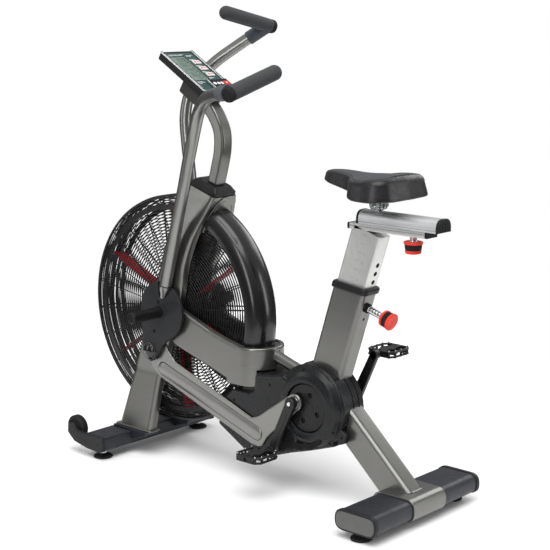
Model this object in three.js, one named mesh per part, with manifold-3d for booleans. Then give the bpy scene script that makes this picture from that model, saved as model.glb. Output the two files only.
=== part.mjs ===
// Fan exercise bike with swinging hand levers, in millimetres, +Z up.
// The rider faces -X, the rider's left side is -Y.  Heights are above the floor.
import * as THREE from "three";
import { mergeVertices } from "three/addons/utils/BufferGeometryUtils.js";
import Module from "manifold-3d";

const wasm = await Module();
wasm.setup();

// ---------------------------------------------------------------- driving sizes
const SHIFT_X = 51;            // moves the middle of the footprint to the origin
const GAP = 0.3;               // clearance between neighbouring pieces
const DEG = Math.PI / 180;

const FAN = { x: -358, z: 455 };          // fan axle and lever pivot
const CRANK = { x: 198, z: 264 };         // crank spindle
const CAGE_R = 345, CAGE_HALF = 44, CAGE_RIM = 338;
const BLADES = 6, BLADE_R = 316, BLADE_HALF = 22, BLADE_FIRST = 34.5 * DEG;
const HEAD_R = 88, HEAD_X = 6, HEAD_Z = 7, LOBE_R = 31;     // rocker cover, about the axle
const ECCENTRIC = 36, PIN_ANGLE = 162 * DEG;      // eccentric pin that drives the lever link
const PEDAL_CRANK = 173, PEDAL_ANGLE = 233 * DEG;
const LEVER_TILT = 15.36 * DEG;           // left lever leans back, right lever leans forward
const BALL_R = 133, BALL_LEAD = 3.5 * DEG;        // link pivot below the lever axle
const PULLEY_R = 50, FAN_PULLEY_R = 12, BELT_T = 3, BELT_Y0 = 55.5, BELT_Y1 = 65;
const TILT = 17.5 * DEG;                  // seat tube leans back
const COLUMN_W = 108, COLUMN_L = 62, COLUMN_WALL = 3;
const POST_W = 100, POST_L = 48;
const CONSOLE_SLOPE = 30.8 * DEG, CONSOLE_L = 211, CONSOLE_HALF = 65, CONSOLE_T = 22;
const FORK_IN = 46, FORK_OUT = 78;
const ARM_IN = 55, ARM_OUT = 78;
const FOOT = { x: 500, y: 205, r: 29 };
const STAB_HALF = 230;

// ---------------------------------------------------------------- materials
const paint = (color, roughness, metalness) =>
  new THREE.MeshStandardMaterial({ color, roughness, metalness });
const FRAME_GREY = paint(0x77756f, 0.38, 0.75);
const SATIN_BLACK = paint(0x1d1e20, 0.5, 0.2);
const GLOSS_BLACK = paint(0x0a0a0b, 0.12, 0.0);
const MATT_BLACK = paint(0x242526, 0.65, 0.0);
const RUBBER = paint(0x161616, 0.85, 0.0);
const WIRE = paint(0x151617, 0.4, 0.5);
const FAN_RED = paint(0xb01c1c, 0.45, 0.0);
const KNOB_RED = paint(0xe8402c, 0.5, 0.0);
const ALU = paint(0xd4d5d2, 0.32, 0.85);
const STEEL = paint(0xb9bbbd, 0.28, 0.95);
const FOAM = paint(0x3a3d3f, 0.8, 0.0);
const VINYL = paint(0x2b2c2e, 0.5, 0.0);
const FACE_GREEN = paint(0x35524d, 0.4, 0.0);
const LCD = paint(0x7ea194, 0.2, 0.0);
const KEY_WHITE = paint(0xe6dfdc, 0.5, 0.0);
const KEY_RED = paint(0xd4352b, 0.5, 0.0);

// ---------------------------------------------------------------- solid helpers
// A closed geometry becomes a solid that can be joined and cut.
function solid(geometry, matrix) {
  let g = new THREE.BufferGeometry();
  const src = geometry.index ? geometry.toNonIndexed() : geometry;
  g.setAttribute("position", src.getAttribute("position").clone());
  if (matrix) g.applyMatrix4(matrix);
  g = mergeVertices(g, 1e-4);
  return new wasm.Manifold(new wasm.Mesh({
    numProp: 3,
    vertProperties: new Float32Array(g.getAttribute("position").array),
    triVerts: new Uint32Array(g.index.array),
  }));
}

function geometryOf(manifold) {
  const mesh = manifold.getMesh();
  const g = new THREE.BufferGeometry();
  g.setAttribute("position", new THREE.BufferAttribute(new Float32Array(mesh.vertProperties), 3));
  g.setIndex(new THREE.BufferAttribute(new Uint32Array(mesh.triVerts), 1));
  const flat = g.toNonIndexed();
  flat.computeVertexNormals();
  return flat;
}

const join = (first, ...rest) => rest.reduce((a, b) => a.add(b), first);
const cut = (first, ...rest) => rest.reduce((a, b) => a.subtract(b), first);
const mirrorY = (s) => s.mirror([0, 1, 0]);

function outline(points) {
  return new THREE.Shape(points.map(([a, b]) => new THREE.Vector2(a, b)));
}

// Corners of a polygon replaced by arcs.  A third value on a point is its own radius.
function rounded(points, radius, steps = 4) {
  const out = [];
  const n = points.length;
  for (let i = 0; i < n; i++) {
    const p = points[i], a = points[(i + n - 1) % n], b = points[(i + 1) % n];
    const r = p[2] ?? radius;
    const ua = [a[0] - p[0], a[1] - p[1]], ub = [b[0] - p[0], b[1] - p[1]];
    const la = Math.hypot(...ua), lb = Math.hypot(...ub);
    const cosine = (ua[0] * ub[0] + ua[1] * ub[1]) / (la * lb);
    const half = Math.acos(Math.max(-1, Math.min(1, cosine))) / 2;
    const back = Math.min(r / Math.tan(half), la * 0.49, lb * 0.49);
    if (r < 0.01 || Math.PI / 2 - half < 0.03) { out.push([p[0], p[1]]); continue; }
    const s = [p[0] + ua[0] / la * back, p[1] + ua[1] / la * back];
    const e = [p[0] + ub[0] / lb * back, p[1] + ub[1] / lb * back];
    for (let k = 0; k <= steps; k++) {
      const t = k / steps, u = 1 - t;
      out.push([u * u * s[0] + 2 * u * t * p[0] + t * t * e[0],
        u * u * s[1] + 2 * u * t * p[1] + t * t * e[1]]);
    }
  }
  return out;
}

const prism = (points, depth) =>
  new THREE.ExtrudeGeometry(outline(points), { depth, bevelEnabled: false, steps: 1 });

// A side outline in X and Z, carried across from y0 to y1.
function side(points, y0, y1) {
  const m = new THREE.Matrix4().makeRotationX(Math.PI / 2).setPosition(0, y1, 0);
  return solid(prism(points, y1 - y0), m);
}
// A front outline in Y and Z, carried along from x0 to x1.
function front(points, x0, x1) {
  const m = new THREE.Matrix4().makeBasis(new THREE.Vector3(0, 1, 0), new THREE.Vector3(0, 0, 1),
    new THREE.Vector3(1, 0, 0)).setPosition(x0, 0, 0);
  return solid(prism(points, x1 - x0), m);
}
// A plan outline in X and Y, carried up from z0 to z1.
function plan(points, z0, z1) {
  return solid(prism(points, z1 - z0), new THREE.Matrix4().setPosition(0, 0, z0));
}
// A section in width (Y) and depth, carried along the side-view line from a to b.
function beam(points, a, b) {
  const e3 = new THREE.Vector3(b[0] - a[0], 0, b[1] - a[1]);
  const length = e3.length();
  e3.normalize();
  const e1 = new THREE.Vector3(0, 1, 0);
  const e2 = new THREE.Vector3().crossVectors(e3, e1);
  const m = new THREE.Matrix4().makeBasis(e1, e2, e3).setPosition(a[0], 0, a[1]);
  return solid(prism(points, length), m);
}
const box2 = (w, l, r, steps = 2) =>
  rounded([[-w / 2, -l / 2], [w / 2, -l / 2], [w / 2, l / 2], [-w / 2, l / 2]], r, steps);
const disc2 = (r, n = 20, cx = 0, cy = 0) =>
  Array.from({ length: n }, (_, i) =>
    [cx + r * Math.cos(2 * Math.PI * i / n), cy + r * Math.sin(2 * Math.PI * i / n)]);

// A round piece across the machine: radius r about (x, z), from y0 to y1.
const roundY = (r, x, z, y0, y1, n = 20) => side(disc2(r, n, x, z), y0, y1);
// A turned piece about the Y direction: profile of [radius, y] pairs.
function turned(profile, x, z, n = 32) {
  const pts = profile.map(([r, y]) => new THREE.Vector2(r, y));
  return solid(new THREE.LatheGeometry(pts, n), new THREE.Matrix4().setPosition(x, 0, z));
}
// A turned piece about an upright axis: profile of [radius, z] pairs.
function uprightTurned(profile, x, y, n = 24) {
  const pts = profile.map(([r, z]) => new THREE.Vector2(r, z));
  const m = new THREE.Matrix4().makeRotationX(Math.PI / 2).setPosition(x, y, 0);
  return solid(new THREE.LatheGeometry(pts, n), m);
}
// A round bar between two points in space.
function rod(a, b, r, n = 14, r2 = r) {
  const va = new THREE.Vector3(...a), vb = new THREE.Vector3(...b);
  const d = new THREE.Vector3().subVectors(vb, va);
  const g = new THREE.CylinderGeometry(r2, r, d.length(), n);
  const q = new THREE.Quaternion().setFromUnitVectors(new THREE.Vector3(0, 1, 0),
    d.clone().normalize());
  const m = new THREE.Matrix4().compose(va.clone().add(vb).multiplyScalar(0.5), q,
    new THREE.Vector3(1, 1, 1));
  return solid(g, m);
}
// A tube bent along a smooth line through the given points.
function bent(points, section, steps) {
  const curve = new THREE.CatmullRomCurve3(points.map((p) => new THREE.Vector3(...p)));
  return solid(new THREE.ExtrudeGeometry(outline(section),
    { extrudePath: curve, steps, bevelEnabled: false }));
}

const bike = new THREE.Group();
bike.position.x = SHIFT_X;

function add(name, shape, material, parent = bike) {
  const mesh = new THREE.Mesh(geometryOf(shape), material);
  mesh.name = name;
  parent.add(mesh);
}

// ---------------------------------------------------------------- outlines shared by pieces
const FORK_FRONT = [[-545, 30], [-532, 84], [-502, 214], [-452, 382], [-397, 529], [-356, 656],
  [-318, 755], [-283, 843]];
const FORK_REAR = [[-176, 809], [-214, 731], [-247, 669], [-277, 591], [-290, 514], [-335, 382],
  [-378, 256], [-394, 98], [-396, 30]];
const forkSide = (grow = 0) => [...FORK_FRONT.map(([x, z]) => [x - grow, z]),
  ...FORK_REAR.map(([x, z]) => [x + grow, z])];

const ARM_TOP = [[-330, 484], [-277, 463], [-174, 425], [-110, 408], [-55, 397], [-50, 396.4]];
const ARM_SIDE = [...ARM_TOP, [-50, 330], [6, 330, 8], [8, 290, 14], [-9, 277, 16], [-88, 286],
  [-209, 324], [-301, 351], [-360, 372]];

const HOUSING = [
  ...Array.from({ length: 12 }, (_, i) => {
    const a = (138 - i * 16.8) * DEG;
    return [CRANK.x + 120 * Math.cos(a), CRANK.z + 120 * Math.sin(a)];
  }),
  [286, 166, 20], [200, 136], [85, 101, 10], [-26, 87, 14], [-139, 150, 12], [-122, 231, 10],
  [-58, 273, 14], [-52, 327, 6], [40, 327, 14],
];

// Distance across the belt run, grown by g: one line around both pulleys.
function beltLoop(grow) {
  const dx = FAN.x - CRANK.x, dz = FAN.z - CRANK.z, d = Math.hypot(dx, dz);
  const along = Math.atan2(dz, dx), lean = Math.acos((PULLEY_R - FAN_PULLEY_R) / d);
  const pts = [];
  for (let i = 0; i <= 14; i++) {
    const a = along + lean + (2 * Math.PI - 2 * lean) * i / 14;
    pts.push([CRANK.x + (PULLEY_R + grow) * Math.cos(a), CRANK.z + (PULLEY_R + grow) * Math.sin(a)]);
  }
  for (let i = 0; i <= 8; i++) {
    const a = along - lean + 2 * lean * i / 8;
    pts.push([FAN.x + (FAN_PULLEY_R + grow) * Math.cos(a),
      FAN.z + (FAN_PULLEY_R + grow) * Math.sin(a)]);
  }
  return pts;
}
const beltRoom = () => side(beltLoop(BELT_T + 1.6), ARM_IN - 0.5, 69);
const cageRoom = () => turned([[0, -45.5], [341, -45.5], [348, -38], [348, 38], [341, 45.5],
  [0, 45.5]], FAN.x, FAN.z, 48);

const at = (s) => [CRANK.x + s * Math.sin(TILT), CRANK.z + s * Math.cos(TILT)];

// ---------------------------------------------------------------- base
function frontStabilizer() {
  const section = rounded([[-553, 31], [-553, 70], [-463, 70], [-463, 31], [-470, 27], [-535, 27]],
    6, 3);
  let s = side(section, -STAB_HALF, STAB_HALF);
  const shoe = rounded([[-546, 69], [-546, 76], [-400, 76], [-408, 62], [-462, 44], [-466, 69]],
    2, 2);
  for (const k of [-1, 1]) {
    s = s.add(side(shoe, Math.min(k * 62, k * 120), Math.max(k * 62, k * 120)));
    s = s.subtract(rod([-FOOT.x, k * FOOT.y, 20], [-FOOT.x, k * FOOT.y, 58], 6.5, 16));
  }
  return s;
}

function frontEnd(k) {
  const plate = rounded([[-556, 74, 5], [-462, 74, 5], [-459, 30, 6], [-478, 24, 6],
    [-535, 27, 20], [-592, 38, 16], [-622, 62, 14], [-618, 92, 14], [-596, 96, 14],
    [-580, 76, 8]], 6, 3);
  let s = side(plate, STAB_HALF + GAP, STAB_HALF + 12);
  s = s.subtract(roundY(6.3, -600, 76, STAB_HALF - 1, STAB_HALF + 13, 16));
  return k < 0 ? mirrorY(s) : s;
}

function transportWheel(k) {
  const y0 = STAB_HALF - 24, y1 = STAB_HALF - 1;
  let s = turned([[0, y0], [34, y0], [38, y0 + 5], [38, y1 - 5], [34, y1], [6, y1], [6, y1 + 10],
    [0, y1 + 10]], -600, 76, 20);
  return k < 0 ? mirrorY(s) : s;
}

function rearStabilizer() {
  const section = rounded([[438, 25], [568, 25], [568, 79], [438, 79]], 26, 4);
  let s = side(section, -STAB_HALF, STAB_HALF);
  const cap = rounded([[435, 23], [571, 23], [571, 81], [435, 81]], 28, 4);
  for (const k of [-1, 1]) {
    s = s.add(side(cap, Math.min(k * 224, k * 238), Math.max(k * 224, k * 238)));
    s = s.subtract(rod([FOOT.x, k * FOOT.y, 10], [FOOT.x, k * FOOT.y, 64], 6.5, 16));
  }
  return s;
}

function foot(sx, sy) {
  return uprightTurned([[0, 0], [26, 0], [FOOT.r, 3], [27, 7], [13, 12], [10, 19], [6, 19], [6, 50],
    [0, 50]], sx * FOOT.x, sy * FOOT.y, 12);
}

// ---------------------------------------------------------------- frame
// One half of the fork: the side outline met by the front outline, around the fan cage.
function fork(k) {
  const outer = [[110, 30], [108.5, 76.3], [FORK_OUT, 258], [FORK_OUT, 690], [72, 740], [60, 782],
    [48, 818], [46, 880]];
  const inner = [[GAP / 2, 880], [GAP / 2, 803], [20, 799], [33, 788], [42, 768], [FORK_IN, 735],
    [FORK_IN, 258], [76, 76.3], [77, 30]];
  let s = side(rounded(forkSide(), 3, 2), 0, 130).intersect(front([...outer, ...inner], -600, -100));
  s = s.intersect(side([[-700, 76.4], [-100, 76.4], [-100, 900], [-700, 900]], -5, 130));
  s = cut(s, cageRoom(), roundY(9, FAN.x, FAN.z, 30, 90, 20));
  if (k > 0) s = cut(s, beltRoom(), roundY(15, FAN.x, FAN.z, 40, 60, 20));
  return k < 0 ? mirrorY(s) : s;
}

function rearArm(k) {
  let s = side(rounded(ARM_SIDE, 0, 3), ARM_IN, ARM_OUT);
  s = s.subtract(side(forkSide(GAP), 40, 90));
  if (k > 0) s = s.subtract(beltRoom());
  return k < 0 ? mirrorY(s) : s;
}

// The bow closes the two rear arms behind the fan and reaches back to the crank housing.
function rearBow() {
  const bow = [[-49.7, -ARM_OUT], ...Array.from({ length: 17 }, (_, i) => {
    const a = (-90 + i * 11.25) * DEG;
    return [-49.7 + ARM_OUT * Math.cos(a), ARM_OUT * Math.sin(a)];
  }), [-49.7, ARM_OUT]];
  let s = plan(bow.slice(1, -1), 330.4, 388.5);
  s = cut(s, cageRoom());
  s = s.add(beam(disc2(17, 18), [10, 368], [140, 328]));
  s = cut(s, beltRoom(), side([[-60, 320], [-45, 320], [-45, 400], [-60, 400]], -44.5, 44.5));
  return s;
}

function bottomBracket() {
  return turned([[24, -60], [34, -60], [34, 53], [24, 53], [24, -60]], CRANK.x, CRANK.z, 20);
}

// The column's top end and its collar are cut almost level, falling slightly to the rear.
const TOP_MID = 307.8, TOP_FALL = 0.13;
const COLUMN_TOP = 609;
// How far along the column the seat's lock pin sits.
const LOCK_AT = 325;

// A slab between two heights, in the plane of that cut.
function level(low, high) {
  const reach = 100, fall = reach * TOP_FALL;
  return side([[TOP_MID - reach, low + fall], [TOP_MID + reach, low - fall],
    [TOP_MID + reach, high - fall], [TOP_MID - reach, high + fall]], -60, 60);
}

function seatColumn() {
  let s = beam(box2(COLUMN_L, COLUMN_W, 14, 4), at(20), at(410));
  s = s.subtract(beam(box2(COLUMN_L - 2 * COLUMN_WALL, COLUMN_W - 2 * COLUMN_WALL, 11, 4),
    at(60), at(412)));
  s = s.subtract(level(COLUMN_TOP, 760));
  s = cut(s, roundY(34 + GAP, CRANK.x, CRANK.z, -70, 70, 28),
    beam(disc2(17 + GAP, 18), [10, 368], [140.5, 327.9]));
  // the lock pin goes through the rear wall
  const p = at(LOCK_AT);
  return s.subtract(rod([p[0] + 38, 0, p[1] - 11.98], [p[0] + 80, 0, p[1] - 25.22], 8.3, 18));
}

const LEG_DIR = [Math.cos(42.5 * DEG), -Math.sin(42.5 * DEG)];
const legAt = (t) => [212.6 + t * LEG_DIR[0], 310.5 + t * LEG_DIR[1]];

function rearLeg() {
  let s = beam(box2(COLUMN_L, 88, 14, 4), legAt(10), legAt(400));
  const sleeve = rounded([[433.5, 20.5], [572.5, 20.5], [572.5, 83.5], [433.5, 83.5]], 30, 4);
  const hole = rounded([[437.6, 24.6], [568.4, 24.6], [568.4, 79.4], [437.6, 79.4]], 25.4, 4);
  s = s.subtract(side([[300, -60], [700, -60], [700, 50], [300, 50]], -60, 60));
  s = s.add(side(sleeve, -72, 72)).subtract(side(hole, -80, 80));
  s = s.subtract(beam(box2(COLUMN_L + 20, COLUMN_W + 2 * GAP, 14, 4), at(-60), at(400)));
  return s.subtract(roundY(34 + GAP, CRANK.x, CRANK.z, -70, 70, 28));
}

function columnCollar() {
  const outer = box2(COLUMN_L + 12, COLUMN_W + 12, 16, 4);
  const s = beam(outer, at(320), at(420)).intersect(level(602.5, 621.5));
  const inside = beam(box2(COLUMN_L + 2 * GAP, COLUMN_W + 2 * GAP, 14.3, 4), at(310), at(430));
  return cut(s, inside.intersect(level(580, COLUMN_TOP + GAP)),
    beam(box2(POST_L + 2 * GAP, POST_W + 2 * GAP, 10.3, 4), at(310), at(430)));
}

// Where the neck ends: a slope that faces up and back.
const NECK_MID = [-229.5, 826], NECK_TURN = 17.6 * DEG;
const neckAt = (u, h) => [NECK_MID[0] + u * Math.cos(NECK_TURN) + h * Math.sin(NECK_TURN),
  NECK_MID[1] - u * Math.sin(NECK_TURN) + h * Math.cos(NECK_TURN)];

function neckCollar() {
  const layer = (w, l, r, h0, h1) => beam(box2(w, l, r, 3), neckAt(0, h0), neckAt(0, h1));
  const base = layer(90, 108, 9, GAP + 0.3, 13);
  const slope = new THREE.CylinderGeometry(0.78, 1, 12, 4).rotateY(Math.PI / 4);
  const m = new THREE.Matrix4().makeTranslation(...[neckAt(0, 18.9)[0], 0, neckAt(0, 18.9)[1]])
    .multiply(new THREE.Matrix4().makeRotationY(NECK_TURN))
    .multiply(new THREE.Matrix4().makeRotationX(Math.PI / 2))
    .multiply(new THREE.Matrix4().makeScale(74, 1, 61));
  return base.add(solid(slope, m));
}

const CONSOLE_TOP = [-376, 1220];
// A slab lying in the console's own plane: u runs down the face, h rises off it.
function consoleSlab(points, h0, h1) {
  const m = new THREE.Matrix4().makeTranslation(CONSOLE_TOP[0], 0, CONSOLE_TOP[1])
    .multiply(new THREE.Matrix4().makeRotationY(CONSOLE_SLOPE))
    .setPosition(CONSOLE_TOP[0], 0, CONSOLE_TOP[1]);
  return solid(prism(points, h1 - h0), m.multiply(new THREE.Matrix4().makeTranslation(0, 0, h0)));
}
const rect = (u0, v0, u1, v1, r = 0, steps = 2) =>
  rounded([[u0, v0], [u1, v0], [u1, v1], [u0, v1]], r, steps);

const BRACKET = { u0: 104, u1: 190, half: 48, h0: -CONSOLE_T - 45, h1: -CONSOLE_T - GAP };

function mast() {
  const s = bent([[-216, 0, 838], [-200, 0, 893], [-188, 0, 945], [-189, 0, 995], [-208, 0, 1036],
    [-240, 0, 1072], [-285, 0, 1105]], box2(42, 38, 6, 2), 12);
  const below = beam(box2(200, 200, 2), neckAt(0, -30), neckAt(0, 24.9 + GAP));
  const above = consoleSlab(rect(0, -100, 220, 100), BRACKET.h0 + 12, 60);
  const bracket = consoleSlab(rect(BRACKET.u0, -BRACKET.half, BRACKET.u1, BRACKET.half, 6, 2),
    BRACKET.h0, BRACKET.h1);
  return cut(s, below, above).add(bracket);
}

// ---------------------------------------------------------------- console
const FACE = { u0: 6, u1: 205, v: 57, h: -4 };
const KEYS = [
  { name: "key_1", u0: 50, u1: 68, v0: 20, v1: 50 },
  { name: "key_2", u0: 82, u1: 100, v0: 20, v1: 50 },
  { name: "key_3", u0: 114, u1: 132, v0: 20, v1: 50 },
];
const KEYPAD = { u0: 158, u1: 212, v0: -14, v1: 64, h: 6 };
const PAD_KEY = { name: "key_start", u0: 172, u1: 192, v0: 36, v1: 56 };

function consoleCase() {
  let s = consoleSlab(rect(0, -CONSOLE_HALF, CONSOLE_L, CONSOLE_HALF, 7), -CONSOLE_T, 0);
  s = s.subtract(consoleSlab(rect(FACE.u0 - GAP, -FACE.v - GAP, FACE.u1 + GAP, FACE.v + GAP),
    FACE.h - GAP, 5));
  // shallow room under each key
  for (const key of [...KEYS, PAD_KEY])
    s = s.subtract(consoleSlab(rect(key.u0, key.v0, key.u1, key.v1), -9, 5));
  return s;
}

function consoleFace() {
  let s = consoleSlab(rect(FACE.u0, -FACE.v, FACE.u1, FACE.v, 3), FACE.h, -0.6);
  s = s.subtract(consoleSlab(rect(28, -50, 150, 8, 2), -2.4, 5));
  for (const key of [...KEYS, PAD_KEY])
    s = s.subtract(consoleSlab(rect(key.u0 - 0.8, key.v0 - 0.8, key.u1 + 0.8, key.v1 + 0.8), -9, 5));
  return s;
}

const lcdWindow = () => consoleSlab(rect(28.4, -49.6, 149.6, 7.6, 2), -2.1, -0.7);

// Bright rails down both long edges, joined under the lower end, with the raised key block.
function consoleRails() {
  const rail = (v0, v1) => consoleSlab(rect(0, v0, CONSOLE_L, v1, 3), GAP, 4);
  let s = join(rail(-CONSOLE_HALF, -FACE.v + 0.5), rail(FACE.v - 0.5, CONSOLE_HALF),
    consoleSlab(rect(CONSOLE_L - 9, -CONSOLE_HALF, CONSOLE_L, CONSOLE_HALF, 3), GAP, 4));
  const pad = KEYPAD, k = PAD_KEY;
  s = s.add(consoleSlab(rounded([[pad.u0, pad.v0], [pad.u1 - 4, pad.v0], [pad.u1 + 6, pad.v1],
    [pad.u0, pad.v1]], 4, 3), GAP, pad.h + 3));
  return s.subtract(consoleSlab(rect(k.u0 - 0.8, k.v0 - 0.8, k.u1 + 0.8, k.v1 + 0.8), -9, 20));
}

const keyCap = (key, top) =>
  consoleSlab(rect(key.u0 + 0.4, key.v0 + 0.4, key.u1 - 0.4, key.v1 - 0.4, 2), -5, top);

// ---------------------------------------------------------------- fan
function fanAxle() {
  return turned([[0, -77], [8.5, -77], [8.5, 77], [0, 77]], FAN.x, FAN.z, 20);
}

function fanRotor() {
  let s = turned([[14, -30], [58, -30], [66, -20], [66, 20], [58, 30], [14, 30], [14, -30]],
    FAN.x, FAN.z, 24);
  for (let i = 0; i < BLADES; i++) {
    const a = BLADE_FIRST + i * 2 * Math.PI / BLADES;
    const dir = [Math.cos(a), Math.sin(a)];
    const end = (r) => [FAN.x + r * dir[0], FAN.z + r * dir[1]];
    s = s.add(beam(box2(2 * BLADE_HALF, 4, 0), end(60), end(BLADE_R)));
  }
  return s;
}

// Sleeve between the rotor and the small belt pulley.
function fanPulley() {
  return turned([[9, -36], [13.7, -36], [13.7, 54.6], [FAN_PULLEY_R, 55.2], [FAN_PULLEY_R, 65.8], [11, 66],
    [9, 66], [9, -36]], FAN.x, FAN.z, 16);
}

function cage(k) {
  const dome = (r) => 41 + (CAGE_HALF - 41) * (1 - (r / CAGE_RIM) ** 2);
  const n = 32;
  let s = turned([[CAGE_RIM - 3, 30], [CAGE_R - 3, 22], [CAGE_R - 3, 1], [CAGE_R, 0.5], [CAGE_R, 38],
    [CAGE_RIM, CAGE_HALF - 1], [CAGE_RIM - 10, CAGE_HALF - 1], [CAGE_RIM - 10, 38],
    [CAGE_RIM - 3, 38], [CAGE_RIM - 3, 30]], FAN.x, FAN.z, n);
  for (const r of [150, 245]) {
    const y = dome(r);
    s = s.add(turned([[r - 2.5, y - 2.5], [r + 2.5, y - 2.5], [r, y], [r - 2.5, y - 2.5]],
      FAN.x, FAN.z, 16));
  }
  s = s.add(turned([[15, 38.5], [52, 38.5], [50, CAGE_HALF], [15, CAGE_HALF], [15, 38.5]],
    FAN.x, FAN.z, 20));
  for (let i = 0; i < 8; i++) {
    const a = i * 45 * DEG;
    const end = (r) => [FAN.x + r * Math.cos(a), FAN.z + r * Math.sin(a)];
    s = s.add(beam([[38.7, -2], [42.3, -2], [42.3, 2], [38.7, 2]], end(45), end(333)));
  }
  return k < 0 ? mirrorY(s) : s;
}

// Wrap-over guard behind the fan, from the neck down to the bow.
function fender() {
  const half = [[358, 0], [356.8, 15], [353.5, 29], [349.5, 40], [338.5, 49.5], [322, 52.6], [306, 52.6]];
  const lining = [[306, 49], [320, 49], [336, 46.6], [346.5, 39], [350, 28], [353.2, 14], [354.5, 0]];
  const flip = ([r, y]) => [r, -y];
  const profile = [...half, ...lining, ...lining.slice(0, -1).reverse().map(flip),
    ...half.slice(1).reverse().map(flip), half[0]];
  const ring = turned(profile, FAN.x, FAN.z, 40);
  const reach = [[-320, 560], [-210.5, 731], [-166, 816], [-100, 900], [150, 900], [150, 389],
    [-150, 389], [-260, 500]];
  return ring.intersect(side(reach, -60, 60));
}

// ---------------------------------------------------------------- crank housing
function housing(k) {
  const wall = 3.5;
  const shrink = (points, by) => {
    const cx = 90, cz = 220;
    return points.map(([x, z]) => {
      const d = Math.hypot(x - cx, z - cz);
      return [cx + (x - cx) * (d - by) / d, cz + (z - cz) * (d - by) / d];
    });
  };
  const full = rounded(HOUSING, 0, 2);
  let s;
  if (k < 0) {
    s = side(full, GAP / 2, 77);
    s = s.subtract(side(shrink(full, 5), -5, 77 - wall));
  } else {
    const boss = (r) => disc2(r, 24, CRANK.x, CRANK.z);
    const nose = [[-139, 150], [-122, 231], [-58, 273], [35, 300], [150, 320], [250, 250], [200, 150],
      [85, 101], [-26, 87]];
    s = join(side(full, GAP / 2, 37), side(boss(78), 30, 77), side(nose, 30, 77));
    s = cut(s, side(shrink(full, 5), -5, 33.5), side(boss(74.5), 10, 77 - wall),
      side(shrink(nose, 5), 10, 77 - wall));
  }
  // rotating disc opening with a raised lip
  s = s.add(cut(roundY(77, CRANK.x, CRANK.z, 72, 79, 24), roundY(66, CRANK.x, CRANK.z, 60, 90, 24)));
  s = s.subtract(roundY(69.5, CRANK.x, CRANK.z, 60, 90, 24));
  const across = (shape) => (k < 0 ? mirrorY(shape) : shape);
  s = cut(s, cageRoom(), beam(box2(COLUMN_L + 2, COLUMN_W + 2, 14, 4), at(-20), at(240)),
    across(beam(box2(COLUMN_L + 2, 90, 14, 4), legAt(-20), legAt(300))),
    across(beam(disc2(18, 18), [-20, 377.2], [160, 321.8])),
    side(ARM_SIDE.map(([x, z]) => [x + 0.6, z]), ARM_IN - 1, 90),
    side([[-80, 262], [9, 262], [9, 340], [-80, 340]], ARM_IN - 1, 90),
    plan([[-60, -90], [30, -90], [30, 90], [-60, 90]], 329, 400));
  if (k > 0) s = s.subtract(beltRoom());
  return k < 0 ? mirrorY(s) : s;
}

// ---------------------------------------------------------------- drive
const pin = (k) => (k < 0
  ? [CRANK.x + ECCENTRIC * Math.cos(PIN_ANGLE), CRANK.z + ECCENTRIC * Math.sin(PIN_ANGLE)]
  : [CRANK.x - ECCENTRIC * Math.cos(PIN_ANGLE), CRANK.z - ECCENTRIC * Math.sin(PIN_ANGLE)]);
const pedalAxis = (k) => (k < 0
  ? [CRANK.x + PEDAL_CRANK * Math.cos(PEDAL_ANGLE), CRANK.z + PEDAL_CRANK * Math.sin(PEDAL_ANGLE)]
  : [CRANK.x - PEDAL_CRANK * Math.cos(PEDAL_ANGLE), CRANK.z - PEDAL_CRANK * Math.sin(PEDAL_ANGLE)]);
const sideways = (k, s) => (k < 0 ? mirrorY(s) : s);

function crankSpindle() {
  return turned([[0, -65.5], [10, -65.5], [10, -50], [14, -50], [14, 50], [10, 50], [10, 53.5],
    [0, 53.5]], CRANK.x, CRANK.z, 20);
}

// The disc carries the eccentric pin stub; three round pockets lighten it.
function crankDisc(k) {
  const p = pin(k);
  let s = roundY(67.5, CRANK.x, CRANK.z, 66, 73, 24);
  for (let i = 0; i < 3; i++) {
    const a = (k < 0 ? PIN_ANGLE : PIN_ANGLE + Math.PI) + (90 + i * 90) * DEG;
    s = s.subtract(roundY(8, CRANK.x + 40 * Math.cos(a), CRANK.z + 40 * Math.sin(a), 60, 80, 12));
  }
  s = s.add(roundY(19, p[0], p[1], 72, 78.6, 24));
  if (k > 0) {
    s = s.add(turned([[0, 53.9], [PULLEY_R + 5, 53.9], [PULLEY_R + 5, 55], [PULLEY_R, 55.2],
      [PULLEY_R, 65.3], [30, 65.6], [30, 66.5], [0, 66.5]], CRANK.x, CRANK.z, 24));
  }
  return sideways(k, s);
}

function belt() {
  return side(beltLoop(BELT_T), BELT_Y0, BELT_Y1).subtract(side(beltLoop(0.7), BELT_Y0 - 5,
    BELT_Y1 + 5));
}

function crankArm(k) {
  const a = pin(k), b = pedalAxis(k);
  const d = [b[0] - a[0], b[1] - a[1]], len = Math.hypot(...d);
  const n = [-d[1] / len, d[0] / len];
  const w = (p, h) => [p[0] + n[0] * h, p[1] + n[1] * h];
  const blade = side([w(a, 15), w(b, 12), w(b, -12), w(a, -15)].reverse(), 90, 106);
  const blade2 = side([w(a, 15), w(b, 12), w(b, -12), w(a, -15)], 90, 106);
  const body = blade.volume() > 0 ? blade : blade2;
  return sideways(k, join(body, roundY(18, a[0], a[1], 88, 108, 24), roundY(14, b[0], b[1], 90, 108,
    20), roundY(8, a[0], a[1], 107, 111, 16)));
}

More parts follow.
